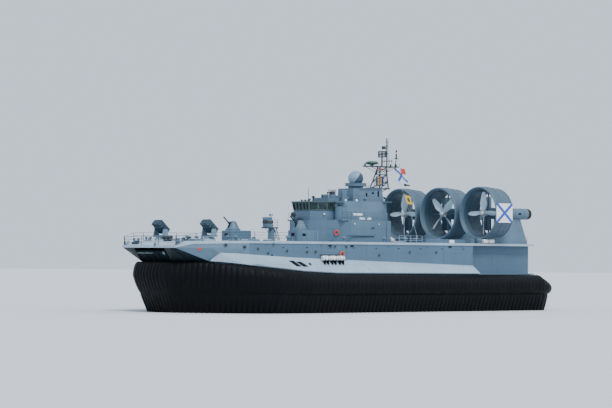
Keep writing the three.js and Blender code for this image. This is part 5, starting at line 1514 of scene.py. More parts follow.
@dataclass
class Bridge:
    """Window frames, wipers and roof fittings of the wheelhouse, and the consoles and seats inside it."""

    sill: float = 12.5
    head: float = 13.3
    corners: tuple = ((0.0, -4.0), (1.6, -4.0), (3.24, -2.36), (3.24, -1.25))
    panes: tuple = (2.5, 2, 1)
    top: float = 13.42
    lean: float = 0.214
    floor_z: float = 12.4
    desk_lows: tuple = ((-1.35, -3.55, 12.4), (-0.45, -3.05, 12.4), (1.7, -2.3, 12.4), (-2.7, -2.3, 12.4))
    desk_highs: tuple = ((1.35, -3.05, 12.95), (0.45, -2.75, 12.75), (2.7, -1.75, 12.9), (-1.7, -1.75, 12.9))
    screen_x: tuple = (-0.9, -0.3, 0.3, 0.9)
    seats: tuple = ((-0.75, -2.2), (0.75, -2.2), (2.1, -1.35), (-2.1, -1.35))
    stool: tuple = ((0, 0), (0.2, 0), (0.2, 0.03), (0.05, 0.06), (0.05, 0.34), (0, 0.34))
    horn: tuple = (
        (0.03, 0), (0.04, 0.3), (0.07, 0.45), (0.13, 0.54), (0.11, 0.545), (0.05, 0.46), (0.02, 0.3),
        (0.02, 0),
    )
    compass: tuple = ((0, 0), (0.14, 0), (0.12, 0.5), (0.2, 0.54), (0.2, 0.66), (0.1, 0.76), (0, 0.78))
    searchlight: tuple = (
        (0, -0.26), (0.16, -0.24), (0.26, -0.12), (0.28, 0.2), (0.3, 0.22), (0.3, 0.27), (0.26, 0.28),
        (0, 0.28),
    )
    loudhailer: tuple = ((0, 0), (0.3, 0), (0.32, 0.5), (0.1, 0.56), (0, 0.56))
    lens: tuple = ((0, 0), (0.25, 0), (0.2, 0.03), (0, 0.05))
    sight: tuple = (
        (0, 0), (0.2, 0), (0.16, 0.1), (0.1, 0.2), (0.1, 0.8), (0.16, 0.86), (0.16, 0.96), (0, 0.96)
    )
    eye: tuple = ((0, 0), (0.09, 0), (0.1, 0.2), (0.07, 0.22), (0, 0.22))
    tub: tuple = (3.85, -0.75)
    tub_radius: float = 0.75

    def build_frames(self) -> None:
        """Make mullion covers, sill and head strips and wipers along the front half ring of windows.

        The walls lean out: each goes inboard by the lean for every metre below the wall's top.
        """
        parts, wipers = [], []
        for (x0, y0), (x1, y1), panes in zip(self.corners[:-1], self.corners[1:], self.panes):
            start, end = np.array([x0, y0, self.top]), np.array([x1, y1, self.top])
            along = unit(end - start)
            out = np.array([along[1], -along[0], 0.0])
            fall = -out * self.lean - np.array([0, 0, 1.0])
            length = float(np.linalg.norm(end - start))
            for level in (self.sill - 0.03, self.head + 0.02):
                middle = (start + end) / 2 + fall * (self.top - level)
                parts.append(slab(rounded(length - 0.05, 0.07, 0.01), 0.04, middle, along, -fall))
            step = length / panes
            for number in np.arange(0.5 if panes % 1 else 0.0, panes, 1.0):
                foot = start + along * step * number + fall * (self.top - (self.sill + self.head) / 2)
                parts.append(slab(rounded(0.1, self.head - self.sill, 0.01), 0.035, foot, along, -fall))
                at = step * (number + 0.5)
                if at < length - 0.1:
                    pivot = start + along * at + out * 0.05 + fall * (self.top - self.head)
                    wipers.append(rods([pivot], [pivot + along * 0.16 + fall * 0.5], 0.012, 5))
                    wipers.append(rods([pivot - out * 0.04], [pivot + out * 0.03], 0.035, 8))
        sided("window_frames", together(*parts), BRIDGE_TRIM)
        sided("window_wipers", together(*wipers), MAST_DARK)

    def build_inside(self) -> None:
        """Make the consoles, screens, seats and grab rail behind the glass."""
        piece("bridge_consoles", blocks(self.desk_lows, self.desk_highs, 0.04), MAST_DARK)
        outline, facing = rounded(0.36, 0.24, 0.03), ((-1, 0, 0), (0, -0.5, 0.86))
        screens = [slab(outline, 0.04, (x, -3.3, 13.02), *facing) for x in self.screen_x]
        piece("bridge_screens", together(*screens), PORT_GLASS)
        seats = []
        for x, y in self.seats:
            seats.append(lathed(self.stool, (x, y, self.floor_z), UP, 16))
            seats.append(slab(rounded(0.46, 0.44, 0.1), 0.1, (x, y, self.floor_z + 0.33), *UPWARD, 0.03))
            back = (x, y + 0.2, self.floor_z + 0.66)
            seats.append(slab(rounded(0.42, 0.5, 0.1), 0.09, back, PORTWARD, (0, 0.12, 1), 0.03))
        piece("bridge_seats", together(*seats), WEAPON_DARK, slot="")
        piece("bridge_rail", studs([(-2.6, -2.9, 13.22)], (5.2, 0, 0), 0.02), STEEL)

    def build_roof(self) -> None:
        """Make the horns, compass and whip aerial on the wheelhouse and the searchlight before it."""
        horns = [lathed(self.horn, (x, -3.0, 13.66), AHEAD, 18, closed=True) for x in (-0.35, 0.35)]
        whip = rods([(0, -2.7, 13.5)], [(0, -2.72, 15.15)], 0.035, 6)
        stand = studs([(0, -2.7, 13.5)], (0, 0, 0.35), 0.06, 8)
        compass = lathed(self.compass, (0, -1.9, 13.5), UP, 24)
        piece("bridge_roof_fittings", together(*horns, whip, stand, compass), MAST_DARK)
        light = lathed(self.searchlight, (0.0, -5.05, 11.85), AHEAD, 28)
        hailer = lathed(self.loudhailer, (0, -3.9, 11.2), AHEAD, 24)
        bracket = blocks(
            [(-0.06, -4.95, 11.18), (-0.25, -4.95, 11.2)], [(0.06, -3.86, 11.26), (0.25, -4.4, 11.3)], 0.02
        )
        post = rods([(0, -4.9, 11.2), (0, -3.9, 10.6)], [(0, -4.9, 11.6), (0, -4.8, 11.2)], 0.05, 8)
        piece("front_searchlight", together(light, hailer, bracket, post), MAST_DARK)
        piece("front_searchlight_lens", lathed(self.lens, (0, -5.33, 11.85), AHEAD, 26), PORT_GLASS)

    def build_tubs(self) -> None:
        """Make the sights and rails of the two round tubs beside the wheelhouse."""
        x, y = self.tub
        head = blocks([(3.6, -1.1, 13.1)], [(4.1, -0.4, 13.42)], 0.05)
        eyes = [lathed(self.eye, (x + shift, -1.08, 13.26), AHEAD, 16) for shift in (-0.12, 0.12)]
        sided("tub_sights", together(lathed(self.sight, (x, y, 12.2), UP, 22), head, *eyes), WEAPON_DARK)
        rim = hoop((x, y, 12.9), UP, self.tub_radius, 0.03, 8, 44)
        wire = hoop((x, y, 13.12), UP, self.tub_radius, 0.014, 6, 44)
        posts = studs(circle((x, y, 12.88), self.tub_radius, 10), (0, 0, 0.24), 0.014)
        sided("tub_rims", together(rim, wire, posts), HOUSE)
        rail = railing([(5.15, -1.6, 11.3), (5.15, 0.7, 11.3)], 0.9, 3, 0.8, 0.018)
        sided("tub_platform_rails", rail, MAST_DARK)

    def build(self) -> None:
        """Make all fittings of the wheelhouse."""
        self.build_frames()
        self.build_inside()
        self.build_roof()
        self.build_tubs()


@dataclass
class SightingCabin:
    """Glass, rails, brackets and lamp of the small raised cabin on the foredeck."""

    half: float = 0.47
    front_y: float = -9.67
    back_y: float = -8.88
    band_z: float = 10.88
    column_y: float = -8.65
    flange: tuple = ((0, 0), (0.3, 0), (0.3, 0.03), (0.24, 0.1), (0.24, 0.16), (0, 0.16))
    lamp: tuple = ((0, 0), (0.14, 0), (0.15, 0.03), (0.15, 0.17), (0.12, 0.2), (0, 0.21))

    def build_cabin(self) -> None:
        """Make the cabin's band of windows, its posts, eave and hood, and the lamp on it."""
        front, back, side, z = self.front_y, self.back_y, self.half, self.band_z
        middle = (front + back) / 2
        wide, deep = rounded(2 * side, 0.34, 0.03), rounded(back - front, 0.34, 0.03)
        bands = [
            slab(wide, 0.03, (0, front + 0.01, z), *FORWARD), slab(wide, 0.03, (0, back - 0.01, z), *AFTWARD),
            slab(deep, 0.03, (side - 0.01, middle, z), *TO_PORT),
            slab(deep, 0.03, (0.01 - side, middle, z), AHEAD, UP),
        ]
        piece("cabin_windows", together(*bands), DARK_GLASS)
        eave = blocks([(-0.52, -9.72, 11.43)], [(0.52, -8.83, 11.5)], 0.02)
        outline = [(-0.5, 0), (0.5, 0), (0.42, 0.22), (-0.42, 0.22)]
        hood = slab(outline, 0.03, (0, -9.66, 11.28), PORTWARD, (0, -0.9, 0.3))
        piece("cabin_frames", together(eave, hood), LIGHT)
        corners = (
            (-side, front), (0, front), (side, front), (side, middle),
            (side, back), (0, back), (-side, back), (-side, middle),
        )
        posts = studs([(x, y, 10.7) for x, y in corners], (0, 0, 0.36), 0.022)
        piece("cabin_posts", posts, MAST_DARK)
        piece("cabin_lamp", lathed(self.lamp, (0.3, -8.98, 11.66), UP, 22), LAMP)

    def build_lookout(self) -> None:
        """Make the lookout's rails, floor edge and brackets, and the column's flange with its bolts."""
        path = [(0.46, -8.84, 10.2), (0.46, -8.05, 10.2), (-0.46, -8.05, 10.2), (-0.46, -8.84, 10.2)]
        rail = railing(path, 0.95, 3, 0.75, 0.03)
        corners = [(x, shift) for x in (-0.14, 0.14) for shift in (-0.14, 0.14)]
        brackets = rods(
            [(x, self.column_y + shift, 9.4) for x, shift in corners],
            [(x * 3.1, self.column_y + shift * 4.5, 10.15) for x, shift in corners], 0.035, 6,
        )
        corners = [(-0.5, -9.8), (0.5, -9.8), (0.5, -8.0), (-0.5, -8.0), (-0.5, -9.8)]
        edge = pipe([(x, y, 10.2) for x, y in corners], 0.06, 8)
        piece("cabin_rails", together(rail, brackets, edge), MAST_DARK)
        flange = lathed(self.flange, (0, self.column_y, 8.49), UP, 28)
        nuts = studs(circle((0, self.column_y, 8.5), 0.27, 10), (0, 0, 0.07), 0.025)
        piece("cabin_foot", together(flange, nuts), HOUSE)

    def build(self) -> None:
        """Make all fittings of the cabin and its column."""
        self.build_cabin()
        self.build_lookout()


@dataclass
class Guns:
    """Barrel clusters, fittings and bolts of the two gun turrets and their deckhouses."""

    x: float = 6.4
    y: float = -9.55
    pivot: tuple = (-9.8, 10.45)
    muzzle: tuple = (-11.0, 11.5)
    ring_z: float = 9.97
    barrels: int = 6
    sleeve: tuple = (
        (0, -0.1), (0.13, -0.08), (0.16, 0.0), (0.16, 0.34), (0.13, 0.4), (0.12, 0.62), (0.1, 0.66), (0, 0.66)
    )
    band: tuple = ((0.045, -0.03), (0.085, -0.02), (0.085, 0.02), (0.045, 0.03))
    cap: tuple = ((0, 0), (0.3, 0), (0.3, 0.04), (0.22, 0.09), (0, 0.11))
    seams: tuple = ((0.35, 0.72), (0.72, 0.54))
    rib_y: tuple = (-10.2, -9.4, -8.6, -7.9)

    def build_barrels(self) -> None:
        """Make the cluster of six barrels with its bands and sleeve."""
        pivot, muzzle = np.array([self.x, *self.pivot]), np.array([self.x, *self.muzzle])
        along = unit(muzzle - pivot)
        reach = float(np.linalg.norm(muzzle - pivot))
        side, over = cross_frame(along[None])
        turns = ring_angles(self.barrels)[:, None]
        offsets = 0.052 * (np.cos(turns) * side + np.sin(turns) * over)
        root = pivot + along * 0.3 * reach
        tubes = rods(root + offsets, pivot + along * (reach + 0.05) + offsets, 0.022, 8)
        core = rods([root], [pivot + along * reach * 0.97], 0.028, 8)
        sleeve = lathed(self.sleeve, pivot, along, 26)
        bands = [
            lathed(self.band, pivot + along * reach * share, along, 26, closed=True)
            for share in (0.62, 0.8, 0.98)
        ]
        sided("gun_cluster", together(tubes, core, sleeve, *bands), GUN_STEEL, "gun_barrels")

    def build_turrets(self) -> None:
        """Make the turret's skirt ring, bolts, seams, cap and lifting eyes."""
        x, y, z = self.x, self.y, self.ring_z
        ring = hoop((x, y, z + 0.05), UP, 0.9, 0.03, 8, 48)
        bolts = studs(circle((x, y, z - 0.01), 0.93, 20), (0, 0, 0.05), 0.028)
        seams = [hoop((x, y, z + rise), UP, radius, 0.012, 6, 44) for rise, radius in self.seams]
        cap = lathed(self.cap, (x, y, 10.94), UP, 28)
        eyes = [hoop((x + shift, y + 0.1, 10.99), AFT, 0.06, 0.016, 6, 14) for shift in (0.3, -0.3)]
        sided("turret_fittings", together(ring, bolts, *seams, cap, *eyes), HOUSE, "gun_turret")

    def build_deckhouse(self) -> None:
        """Make the deckhouse's stiffeners, vents and rungs."""
        ribs = equal_blocks([(7.59, y, 8.6) for y in self.rib_y], (0.04, 0.05, 1.18), 0.01)
        rungs = studs([(7.7, -8.3, z) for z in np.arange(8.75, 9.8, 0.25)], (0, 0.35, 0), 0.016)
        sided("deckhouse_fittings", together(ribs, rungs), HOUSE)
        # Painted shade: near-black slabs stand for the shade inside the deckhouse's vents.
        vents = [
            slab(rounded(0.5, 0.3, 0.04), 0.03, (7.6, -9.85, 9.3), *TO_PORT),
            slab(rounded(0.6, 0.4, 0.05), 0.03, (6.4, -10.6, 9.3), *FORWARD),
        ]
        sided("deckhouse_vents", together(*vents), DARK_PAINT_AND_SHADE)

    def build(self) -> None:
        """Make all details of the guns."""
        self.build_barrels()
        self.build_turrets()
        self.build_deckhouse()


@dataclass
class Launchers:
    """Tube packs, frames, drives and pedestals of the two rocket launchers."""

    x: float = 4.7
    y: float = -22.05
    pivot_z: float = 10.15
    rest_degrees: float = 42.0
    half_width: float = 0.75
    half_length: float = 0.85
    half_height: float = 0.35
    pitch: float = 0.186
    row_height: float = 0.2
    rows: tuple = (7, 8, 7)
    mouth: float = 0.078
    rib_y: tuple = (-0.72, -0.3, 0.3, 0.72)
    cap: tuple = ((0, 0), (0.15, 0), (0.15, 0.04), (0.1, 0.07), (0, 0.08))

    def tilted(self, shape: Shape) -> Shape:
        """Turn a shape made level round the pivot, front end up, and bring it to the launcher."""
        return shape.turned(PORTWARD, -self.rest_degrees, ORIGIN).moved((self.x, self.y, self.pivot_z))

    def build_tubes(self) -> None:
        """Make the tubes' rims and closed back ends, the frame round them and its ridges."""
        reach, inner = self.half_length, self.mouth - 0.01
        plug = ((0, 0.0), (inner, 0.0), (inner, 0.015), (0, 0.015))
        rims, ends = [], []
        for row, count in enumerate(self.rows):
            z = (row - 1) * self.row_height
            for number in range(count):
                x = (number - (count - 1) / 2) * self.pitch
                rims.append(hoop((x, -reach - 0.02, z), AFT, self.mouth + 0.008, 0.012, 6, 18))
                rims.append(hoop((x, reach + 0.02, z), AFT, self.mouth, 0.012, 6, 18))
                ends.append(lathed(plug, (x, reach + 0.005, z), AFT, 16))
        wide, tall = self.half_width * 1.015, self.half_height * 1.03
        for y in self.rib_y:
            ring = np.array([(-wide, y, -tall), (wide, y, -tall), (wide, y, tall), (-wide, y, tall)])
            rims.append(rods(ring, np.roll(ring, -1, axis=0), 0.03, 6))
        at = [(x * self.pitch, side * (self.half_height - 0.03)) for x in range(-3, 4) for side in (-1, 1)]
        at += [(side * (self.half_width - 0.04), z) for side in (-1, 1) for z in (-0.22, 0.0, 0.22)]
        ridges = studs([(x, 0.02 - reach, z) for x, z in at], (0, 2 * reach - 0.04, 0), 0.075, 12)
        sided("launcher_rims", self.tilted(together(*rims)), HOUSE, "launcher_box", slot="dark_paint")
        sided("launcher_tubes", self.tilted(ridges), WEAPON_DARK, "launcher_box")
        sided("launcher_tube_ends", self.tilted(together(*ends)), DARK_PAINT_AND_SHADE, "launcher_box")

    def build_mount(self) -> None:
        """Make the pedestal's bolts, the trunnion caps and the training drives."""
        x, y = self.x, self.y
        bolts = studs(circle((x, y, 8.71), 0.66, 16), (0, 0, 0.05), 0.03)
        caps = [lathed(self.cap, (x + side * 0.96, y, self.pivot_z), (side, 0, 0), 22) for side in (-1, 1)]
        drives = blocks(
            [(x - 0.7, y + 0.2, 9.08), (x + 0.25, y + 0.25, 9.08)],
            [(x - 0.25, y + 0.6, 9.19), (x + 0.65, y + 0.55, 9.17)], 0.03,
        )
        sided("launcher_drives", together(bolts, *caps, drives), LAUNCHER_ARM, "launcher_fork")

    def build(self) -> None:
        """Make all details of the launchers."""
        self.build_tubes()
        self.build_mount()


@dataclass
class Intakes:
    """Grilles and lifting eyes of the lift fans' intakes, and the vehicle deck's fittings."""

    x0: float = 6.3
    x1: float = 9.3
    y0: float = 8.6
    y1: float = 15.4
    top: float = 8.92
    lashing: tuple = ((0, 0), (0.11, 0), (0.11, 0.01), (0.04, 0.02), (0, 0.02))
    lashing_x: tuple = (-3.2, -1.1, 1.1, 3.2)

    def build_grilles(self) -> None:
        """Make the bars, edge, vanes and lifting eyes over the intakes."""
        x0, x1, y0, y1, top = self.x0, self.x1, self.y0, self.y1, self.top
        feet = [(x, y0 + 0.15, top + 0.02) for x in np.arange(x0 + 0.35, x1 - 0.2, 0.3)]
        bars = studs(feet, (0, y1 - y0 - 0.3, 0), 0.018)
        edge = pipe([(x0, y0, top), (x1, y0, top), (x1, y1, top), (x0, y1, top), (x0, y0, top)], 0.045, 8)
        lows = [(x0 + 0.2, y, top - 0.3) for y in np.arange(y0 + 0.5, y1 - 0.3, 0.7)]
        vanes = equal_blocks(lows, (x1 - x0 - 0.4, 0.04, 0.33), 0.01)
        corners = [(x, y) for x in (x0 + 0.1, x1 - 0.1) for y in (y0 + 0.3, y1 - 0.3)]
        eyes = [hoop((x, y, top + 0.08), PORTWARD, 0.07, 0.02, 6, 14) for x, y in corners]
        sided("intake_grilles", together(bars, edge, vanes, *eyes), HOUSE)

    def build_vehicle_deck(self) -> None:
        """Make the vehicle deck's lashing points, tracks and wall frames."""
        places = [(x, y, 3.615) for x in self.lashing_x for y in np.arange(-17.0, 27.0, 4.0)]
        lashings = [lathed(self.lashing, place, UP, 16) for place in places]
        tracks = equal_blocks([(x - 0.04, -18.0, 3.6) for x in (-2.2, 2.2)], (0.08, 45.5, 0.04), 0.01)
        piece("deck_lashings", together(tracks, *lashings), MAST_DARK)
        lows = [(3.84, y, 3.75) for y in np.arange(-18.5, 27.5, 2.3)]
        sided("vehicle_deck_frames", equal_blocks(lows, (0.07, 0.12, 4.35), 0.015), LIGHT)

    def build(self) -> None:
        """Make all fittings of the intakes and the vehicle deck."""
        self.build_grilles()
        self.build_vehicle_deck()


@dataclass
class Mast:
    """Bracing, lamps, platform rails, rungs, aerials and antenna details of the mast and the radar."""

    platform_z: float = 18.27
    platform_y: tuple = (7.05, 11.9)
    platform_half: float = 0.8
    pole_y: float = 10.45
    legs: tuple = (
        ((0, 7.55, 15.3), (0, 8.95, 18.15)), ((0.84, 10.0, 15.3), (0.57, 9.83, 18.15)),
        ((-0.84, 10.0, 15.3), (-0.57, 9.83, 18.15)),
    )
    bays: tuple = ((0.0, 0.33), (0.33, 0.66), (0.66, 0.97))
    yard_lamp: tuple = ((0, 0), (0.06, 0), (0.08, 0.04), (0.07, 0.13), (0, 0.17))
    platform_lamp: tuple = ((0, 0), (0.08, 0), (0.1, 0.05), (0.09, 0.17), (0, 0.22))
    can: tuple = ((0, 0), (0.1, 0), (0.12, 0.05), (0.1, 0.26), (0.05, 0.31), (0, 0.32))
    cans: tuple = (
        (0.6, 7.25, 18.28), (-0.6, 7.25, 18.28), (0.5, 11.6, 18.28), (-0.5, 11.6, 18.28), (0, 12.1, 20.1)
    )
    cup: tuple = ((0, 0), (0.05, 0.02), (0.055, 0.06), (0, 0.1))
    collar: tuple = ((0.08, 0), (0.24, 0), (0.1, 0.2), (0.08, 0.2))
    ball: tuple = (0.0, 5.15, 16.6)
    ball_radius: float = 0.95
    oval: tuple = (0.0, 7.9, 18.65)

    def build_lattice(self) -> None:
        """Make the lattice's bracing, rungs and cable run, and the platforms' rails and brackets."""
        feet, heads = (np.array(ends, float) for ends in zip(*self.legs))
        starts, ends = [], []
        for leg in range(3):
            other = (leg + 1) % 3
            starts += [feet[leg] + (heads[leg] - feet[leg]) * low for low, _ in self.bays]
            ends += [feet[other] + (heads[other] - feet[other]) * high for _, high in self.bays]
        rungs = ladder((0.55, 9.9, 15.35), (0.35, 9.75, 18.2), AFT, 0.16, 0.28, 0.016)
        (y0, y1), half, z = self.platform_y, self.platform_half, self.platform_z
        rail = railing([(half, y0, z), (half, y1, z), (-half, y1, z), (-half, y0, z)], 0.3, 1, 1.6, 0.014)
        runs = [(x, y0, y1) for y0, y1 in ((9.0, 7.3), (9.9, 11.6)) for x in (-0.5, 0.5)]
        brackets = rods([(x, y, 17.5) for x, y, _ in runs], [(x, y, 18.15) for x, _, y in runs], 0.035, 6)
        cable = studs([(0.1, self.pole_y + 0.12, 18.3)], (0, 0, 3.1), 0.025)
        steps = studs([(-0.16, self.pole_y, z) for z in np.arange(18.6, 21.3, 0.32)], (0.32, 0, 0), 0.014, 5)
        bracing = rods(starts, ends, 0.02, 6)
        piece("mast_bracing", together(bracing, rungs, rail, brackets, cable, steps), MAST_DARK)

    def build_aerials(self) -> None:
        """Make the yards' aerials, lamps, wind vane and topmast fittings."""
        y = self.pole_y
        upper = studs([(x, y, 19.55) for x in (-1.45, -0.9, -0.35)], (0, 0, 0.8), 0.022)
        lower = studs([(x, y, 18.65) for x in (-0.95, -0.5, 0.5, 0.95)], (0, 0, 0.55), 0.03)
        cans = [lathed(self.can, place, UP, 18) for place in self.cans]
        ring = hoop((0, y, 20.95), UP, 0.2, 0.02, 6, 22)
        ring_bars = [
            rods([(-reach_x, y - reach_y, 20.95)], [(reach_x, y + reach_y, 20.95)], 0.014, 5)
            for reach_x, reach_y in ((0.2, 0), (0, 0.2))
        ]
        vane_bars = [
            rods([(-reach_x, y - reach_y, z)], [(reach_x, y + reach_y, z)], 0.018, 6)
            for reach_x, reach_y, z in ((0.35, 0, 21.35), (0, 0.3, 21.55))
        ]
        cups = [lathed(self.cup, (x, y, 21.36), UP, 10) for x in (-0.35, 0.35)]
        piece("mast_aerials", together(upper, lower, *cans, ring, *ring_bars, *vane_bars, *cups), MAST_DARK)
        lamps = [lathed(self.yard_lamp, (x, y, 19.93), UP, 14) for x in (-1.45, -0.9, -0.35)]
        lamps += [lathed(self.platform_lamp, (x, 9.5, 18.28), UP, 16) for x in (0.75, -0.75)]
        piece("mast_lamps", together(*lamps), LAMP)
        collar = lathed(self.collar, (0, 12.1, 19.28), UP, 20, closed=True)
        piece("stub_fittings", together(collar, studs([(-0.6, 12.1, 19.3)], (1.2, 0, 0), 0.025)), MAST_DARK)

    def build_radar(self) -> None:
        """Make the radar ball's level and upright seams, and its drum's hoops and bolts."""
        seams = [hoop(self.ball, UP, self.ball_radius + 0.002, 0.014, 6, 64)]
        angle = np.radians(np.linspace(-30, 210, 48))
        arc = np.stack([np.cos(angle), 0 * angle, np.sin(angle)], axis=-1)
        upright = pipe(arc * (self.ball_radius + 0.004), 0.01, 5)
        seams += [upright.turned(UP, turn, ORIGIN).moved(self.ball) for turn in (0, 45, 90, 135)]
        piece("ball_seams", together(*seams), DOME, "radar_ball")
        x, y, _ = self.ball
        hoops = [hoop((x, y, level), UP, 1.33, 0.03, 8, 56) for level in (15.66, 15.95)]
        bolts = studs(circle((x, y, 15.99), 1.2, 24), (0, 0, 0.05), 0.028)
        piece("drum_fittings", together(*hoops, bolts), HOUSE)

    def build_antennas(self) -> None:
        """Make the rim and ribs of the oval antenna and the slots and back frame of the array antenna."""
        shares = np.array([-0.6, -0.3, 0.0, 0.3, 0.6])
        reach = np.array([[0, 0.26, 0]]) * np.sqrt(1 - shares * shares)[:, None]
        middles = np.array([[0.85, 0, 0]]) * shares[:, None] + self.oval
        rim = circle(ORIGIN, 1.0, 48) * (0.86, 0.262, 1) + self.oval
        ribs = rods(middles - reach, middles + reach, 0.02, 6)
        piece("oval_ribs", together(pipe(np.vstack([rim, rim[:1]]), 0.022, 6), ribs), GREEN, "oval_antenna")
        lows = [(x - 0.02, 9.5, 19.46) for x in np.arange(-0.6, 0.65, 0.12)]
        slots = equal_blocks(lows, (0.04, 0.035, 0.7), 0.006)
        low, high, side = (-0.68, 9.72, 19.45), (-0.68, 9.72, 20.15), (0.68, 9.72, 19.45)
        back = rods([low, high, low, side], [side, (0.68, 9.72, 20.15), high, (0.68, 9.72, 20.15)], 0.022, 6)
        piece("array_slots", together(slots, back), MAST_DARK, "array_antenna")

    def build(self) -> None:
        """Make all fittings of the mast."""
        self.build_lattice()
        self.build_aerials()
        self.build_radar()
        self.build_antennas()


@dataclass(frozen=True)
class Flag:
    """A signal flag: its place on the line, its cut and the way it flies."""

    name: str
    finish: Bunting
    y: float
    z_low: float
    height: float
    length: float
    x: float = 0.0
    swing: float = 38.0
    waves: float = 1.25
    droop: float = 0.06
    lean: float = 0.0
    taper: float = 1.0
    columns: int = 60
    rows: int = 14

    def points(self) -> Array:
        """Work out the cloth.

        Returns:
            Columns by rows by three. Seen from above, the cloth's direction swings to and fro as
            swing times sin(2 pi waves s / length), so its length along the curve stays what it was
            cut to. It sinks by the droop, and the hoist leans with the line.
        """
        along = np.linspace(0, self.length, self.columns)
        share = along / self.length
        wave = np.sin(2 * math.pi * self.waves * share + 0.4) * (0.35 + 0.65 * share)
        turn = math.radians(self.swing) * wave
        step = np.diff(along, prepend=0.0)
        x = np.cumsum(step * np.sin(turn))
        y = np.cumsum(step * np.cos(turn))
        rise = np.linspace(0, 1, self.rows)[None]
        tall = self.height * (1 + (self.taper - 1) * share)[:, None]
        z = self.z_low + self.height / 2 + (rise - 0.5) * tall - self.droop * along[:, None] ** 1.4
        lean = self.lean * (0.5 - rise) * self.height
        return np.stack([self.x + x[:, None] + 0 * rise, self.y + y[:, None] + lean, z + 0 * rise], axis=-1)

    def build(self, rests_on: list[bpy.types.Object]) -> None:
        """Make the flag as a single sheet with its own UV map.

        Args:
            rests_on: The line or yard that it hangs from; it is not used.
        """
        made = piece(self.name, grid(self.points()), self.finish)
        across, up = np.linspace(0, 1, self.columns), np.linspace(0, 1, self.rows)
        lay_chart(made, np.stack(np.meshgrid(across, up, indexing="ij"), axis=-1).reshape(-1, 2))


@dataclass
class Flags:
    """The signal flags and their lines."""

    flags: tuple = (
        Flag("striped_flag", FLAG_BLUE_YELLOW, 8.62, 15.78, 1.22, 1.3, swing=30),
        Flag("orange_flag", FLAG_ORANGE, 8.79, 17.8, 0.22, 1.05, x=0.3, taper=0.5),
        Flag("orange_pennant", FLAG_ORANGE, 10.0, 17.56, 0.24, 0.56, x=0.3, taper=0.5, waves=0.7),
        Flag("saltire_flag", FLAG_SALTIRE, 12.1, 16.42, 1.68, 1.75, swing=26, lean=0.46),
        Flag("red_flag", FLAG_RED, 12.55, 17.35, 0.72, 0.78, x=0.4, swing=24, lean=0.33),
        Flag("black_pennant", FLAG_BLACK, 13.1, 15.8, 0.34, 1.1, x=0.4, swing=24, taper=0.35, lean=0.33),
        Flag("yellow_flag", FLAG_YELLOW, 13.85, 13.55, 1.1, 0.9, swing=16, lean=0.46),
    )
    main_line: tuple = ((0, 11.88, 18.2), (0, 14.2, 13.2), (0, 16.3, 8.52))
    thin_lines: tuple = (
        ((0, 8.6, 18.15), (0, 8.6, 15.35), 6), ((0.3, 8.77, 18.2), (0.3, 8.77, 17.6), 3),
        ((0.3, 9.98, 18.2), (0.3, 9.98, 17.4), 3), ((0.4, 12.1, 19.3), (0.4, 15.7, 8.52), 10),
    )

    def build(self) -> None:
        """Make the halyards and hang the flags on them."""
        top, middle, foot = self.main_line
        line = pipe(np.vstack([between(top, middle, 8), between(middle, foot, 8)[1:]]), 0.018, 6)
        thin = [pipe(between(*ends), 0.014, 6) for ends in self.thin_lines]
        halyards = piece("halyards", together(line, *thin), ROPE)
        for flag in self.flags:
            flag.build([halyards])


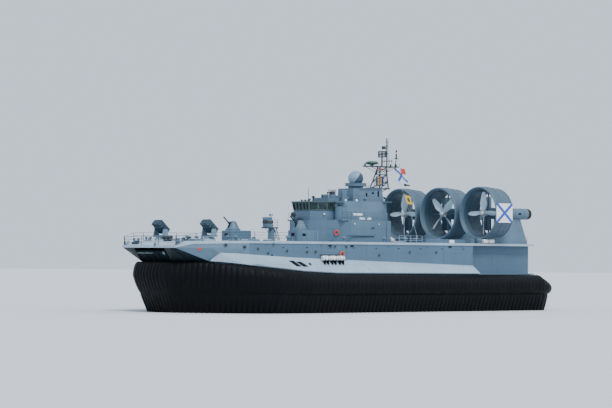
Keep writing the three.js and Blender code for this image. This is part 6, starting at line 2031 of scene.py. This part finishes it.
@dataclass
class Studio:
    """The camera of the photograph, a pale floor and soft light."""

    angle_degrees: float = 49.0
    distance: float = 300.0
    eye_height: float = 6.8
    focal_pixels: float = 2401.2
    image_width: int = 612
    yaw: float = 0.00781
    rise_pixels: float = 51.65
    roll_degrees: float = 0.42
    sensor_width: float = 36.0
    floor_radii: tuple = (0.0005, 60.0, 400.0)
    floor_z: float = -0.004
    suns: tuple = (
        ("soft_sun", (0.6, -0.2, 0.85), 2.6, 25.0),
        ("soft_fill", (0.6, 0.9, 0.5), 0.35, 60.0),
    )

    def build_camera(self) -> None:
        """Place the camera: it looks at the craft from off the port bow, a little up and a little rolled."""
        turn = math.radians(self.angle_degrees)
        place = np.array([math.sin(turn) * self.distance, -math.cos(turn) * self.distance, self.eye_height])
        right = np.array([math.cos(turn), math.sin(turn), 0.0])
        ahead = np.array([-math.sin(turn), math.cos(turn), 0.0]) - right * self.yaw
        ahead = unit(unit(ahead) + np.array([0, 0, self.rise_pixels / self.focal_pixels]))
        right = unit(np.cross(ahead, UP))
        up = np.cross(right, ahead)
        roll = math.radians(self.roll_degrees)
        rolled_right = right * math.cos(roll) + up * math.sin(roll)
        rolled_up = up * math.cos(roll) - right * math.sin(roll)
        view = np.eye(4)
        view[:3, :3] = np.stack([rolled_right, rolled_up, -ahead], axis=-1)
        view[:3, 3] = (place - MIDDLE) * MODEL_SCALE
        data = bpy.data.cameras.new("photograph_camera")
        data.sensor_fit = "HORIZONTAL"
        data.sensor_width = self.sensor_width
        data.lens = self.focal_pixels / self.image_width * self.sensor_width
        data.clip_end = 2000.0
        camera = bpy.data.objects.new("photograph_camera", data)
        camera.matrix_world = Matrix(view.tolist())
        bpy.context.scene.collection.objects.link(camera)
        bpy.context.scene.camera = camera

    def build_floor(self) -> None:
        """Lay a wide pale floor."""
        shape = grid(
            np.stack([circle((0, 0, self.floor_z), radius, 96) for radius in self.floor_radii]),
            round_columns=True,
        )
        mesh = bpy.data.meshes.new("studio_floor")
        mesh.from_pydata(shape.points.tolist(), [], shape.faces[0][:, ::-1].tolist())
        mesh.update()
        mesh.materials.append(FLOOR_PALE.material())
        floor = bpy.data.objects.new("studio_floor", mesh)
        bpy.context.scene.collection.objects.link(floor)

    def build_light(self) -> None:
        """Light the craft by a pale sky all round and a wide soft sun from ahead and above."""
        world = bpy.data.worlds.new("studio_air")
        world.use_nodes = True
        sky = world.node_tree.nodes["Background"]
        sky.inputs["Color"].default_value = (0.74, 0.85, 1.0, 1.0)
        sky.inputs["Strength"].default_value = 1.12
        bpy.context.scene.world = world
        for name, direction, strength, spread in self.suns:
            data = bpy.data.lights.new(name, "SUN")
            data.energy = strength
            data.angle = math.radians(spread)
            lamp = bpy.data.objects.new(name, data)
            lamp.rotation_mode = "QUATERNION"
            lamp.rotation_quaternion = Vector(direction).to_track_quat("Z", "Y")
            bpy.context.scene.collection.objects.link(lamp)

    def build(self) -> None:
        """Set the stage."""
        self.build_camera()
        self.build_floor()
        self.build_light()


def main() -> None:
    """Build the craft's looks in order."""
    logging.basicConfig(level=logging.INFO, format="%(name)s: %(message)s")
    Studio().build()
    dress_frame()
    for part in (
        Skirt(), Propulsion(), Flags(), Mast(), Intakes(), Launchers(), Guns(), SightingCabin(), Bridge(),
        Tiers(), DeckFittings(), HullSide(),
    ):
        part.build()
        log.info("finished %s", type(part).__name__)


if __name__ == "__main__":
    main()
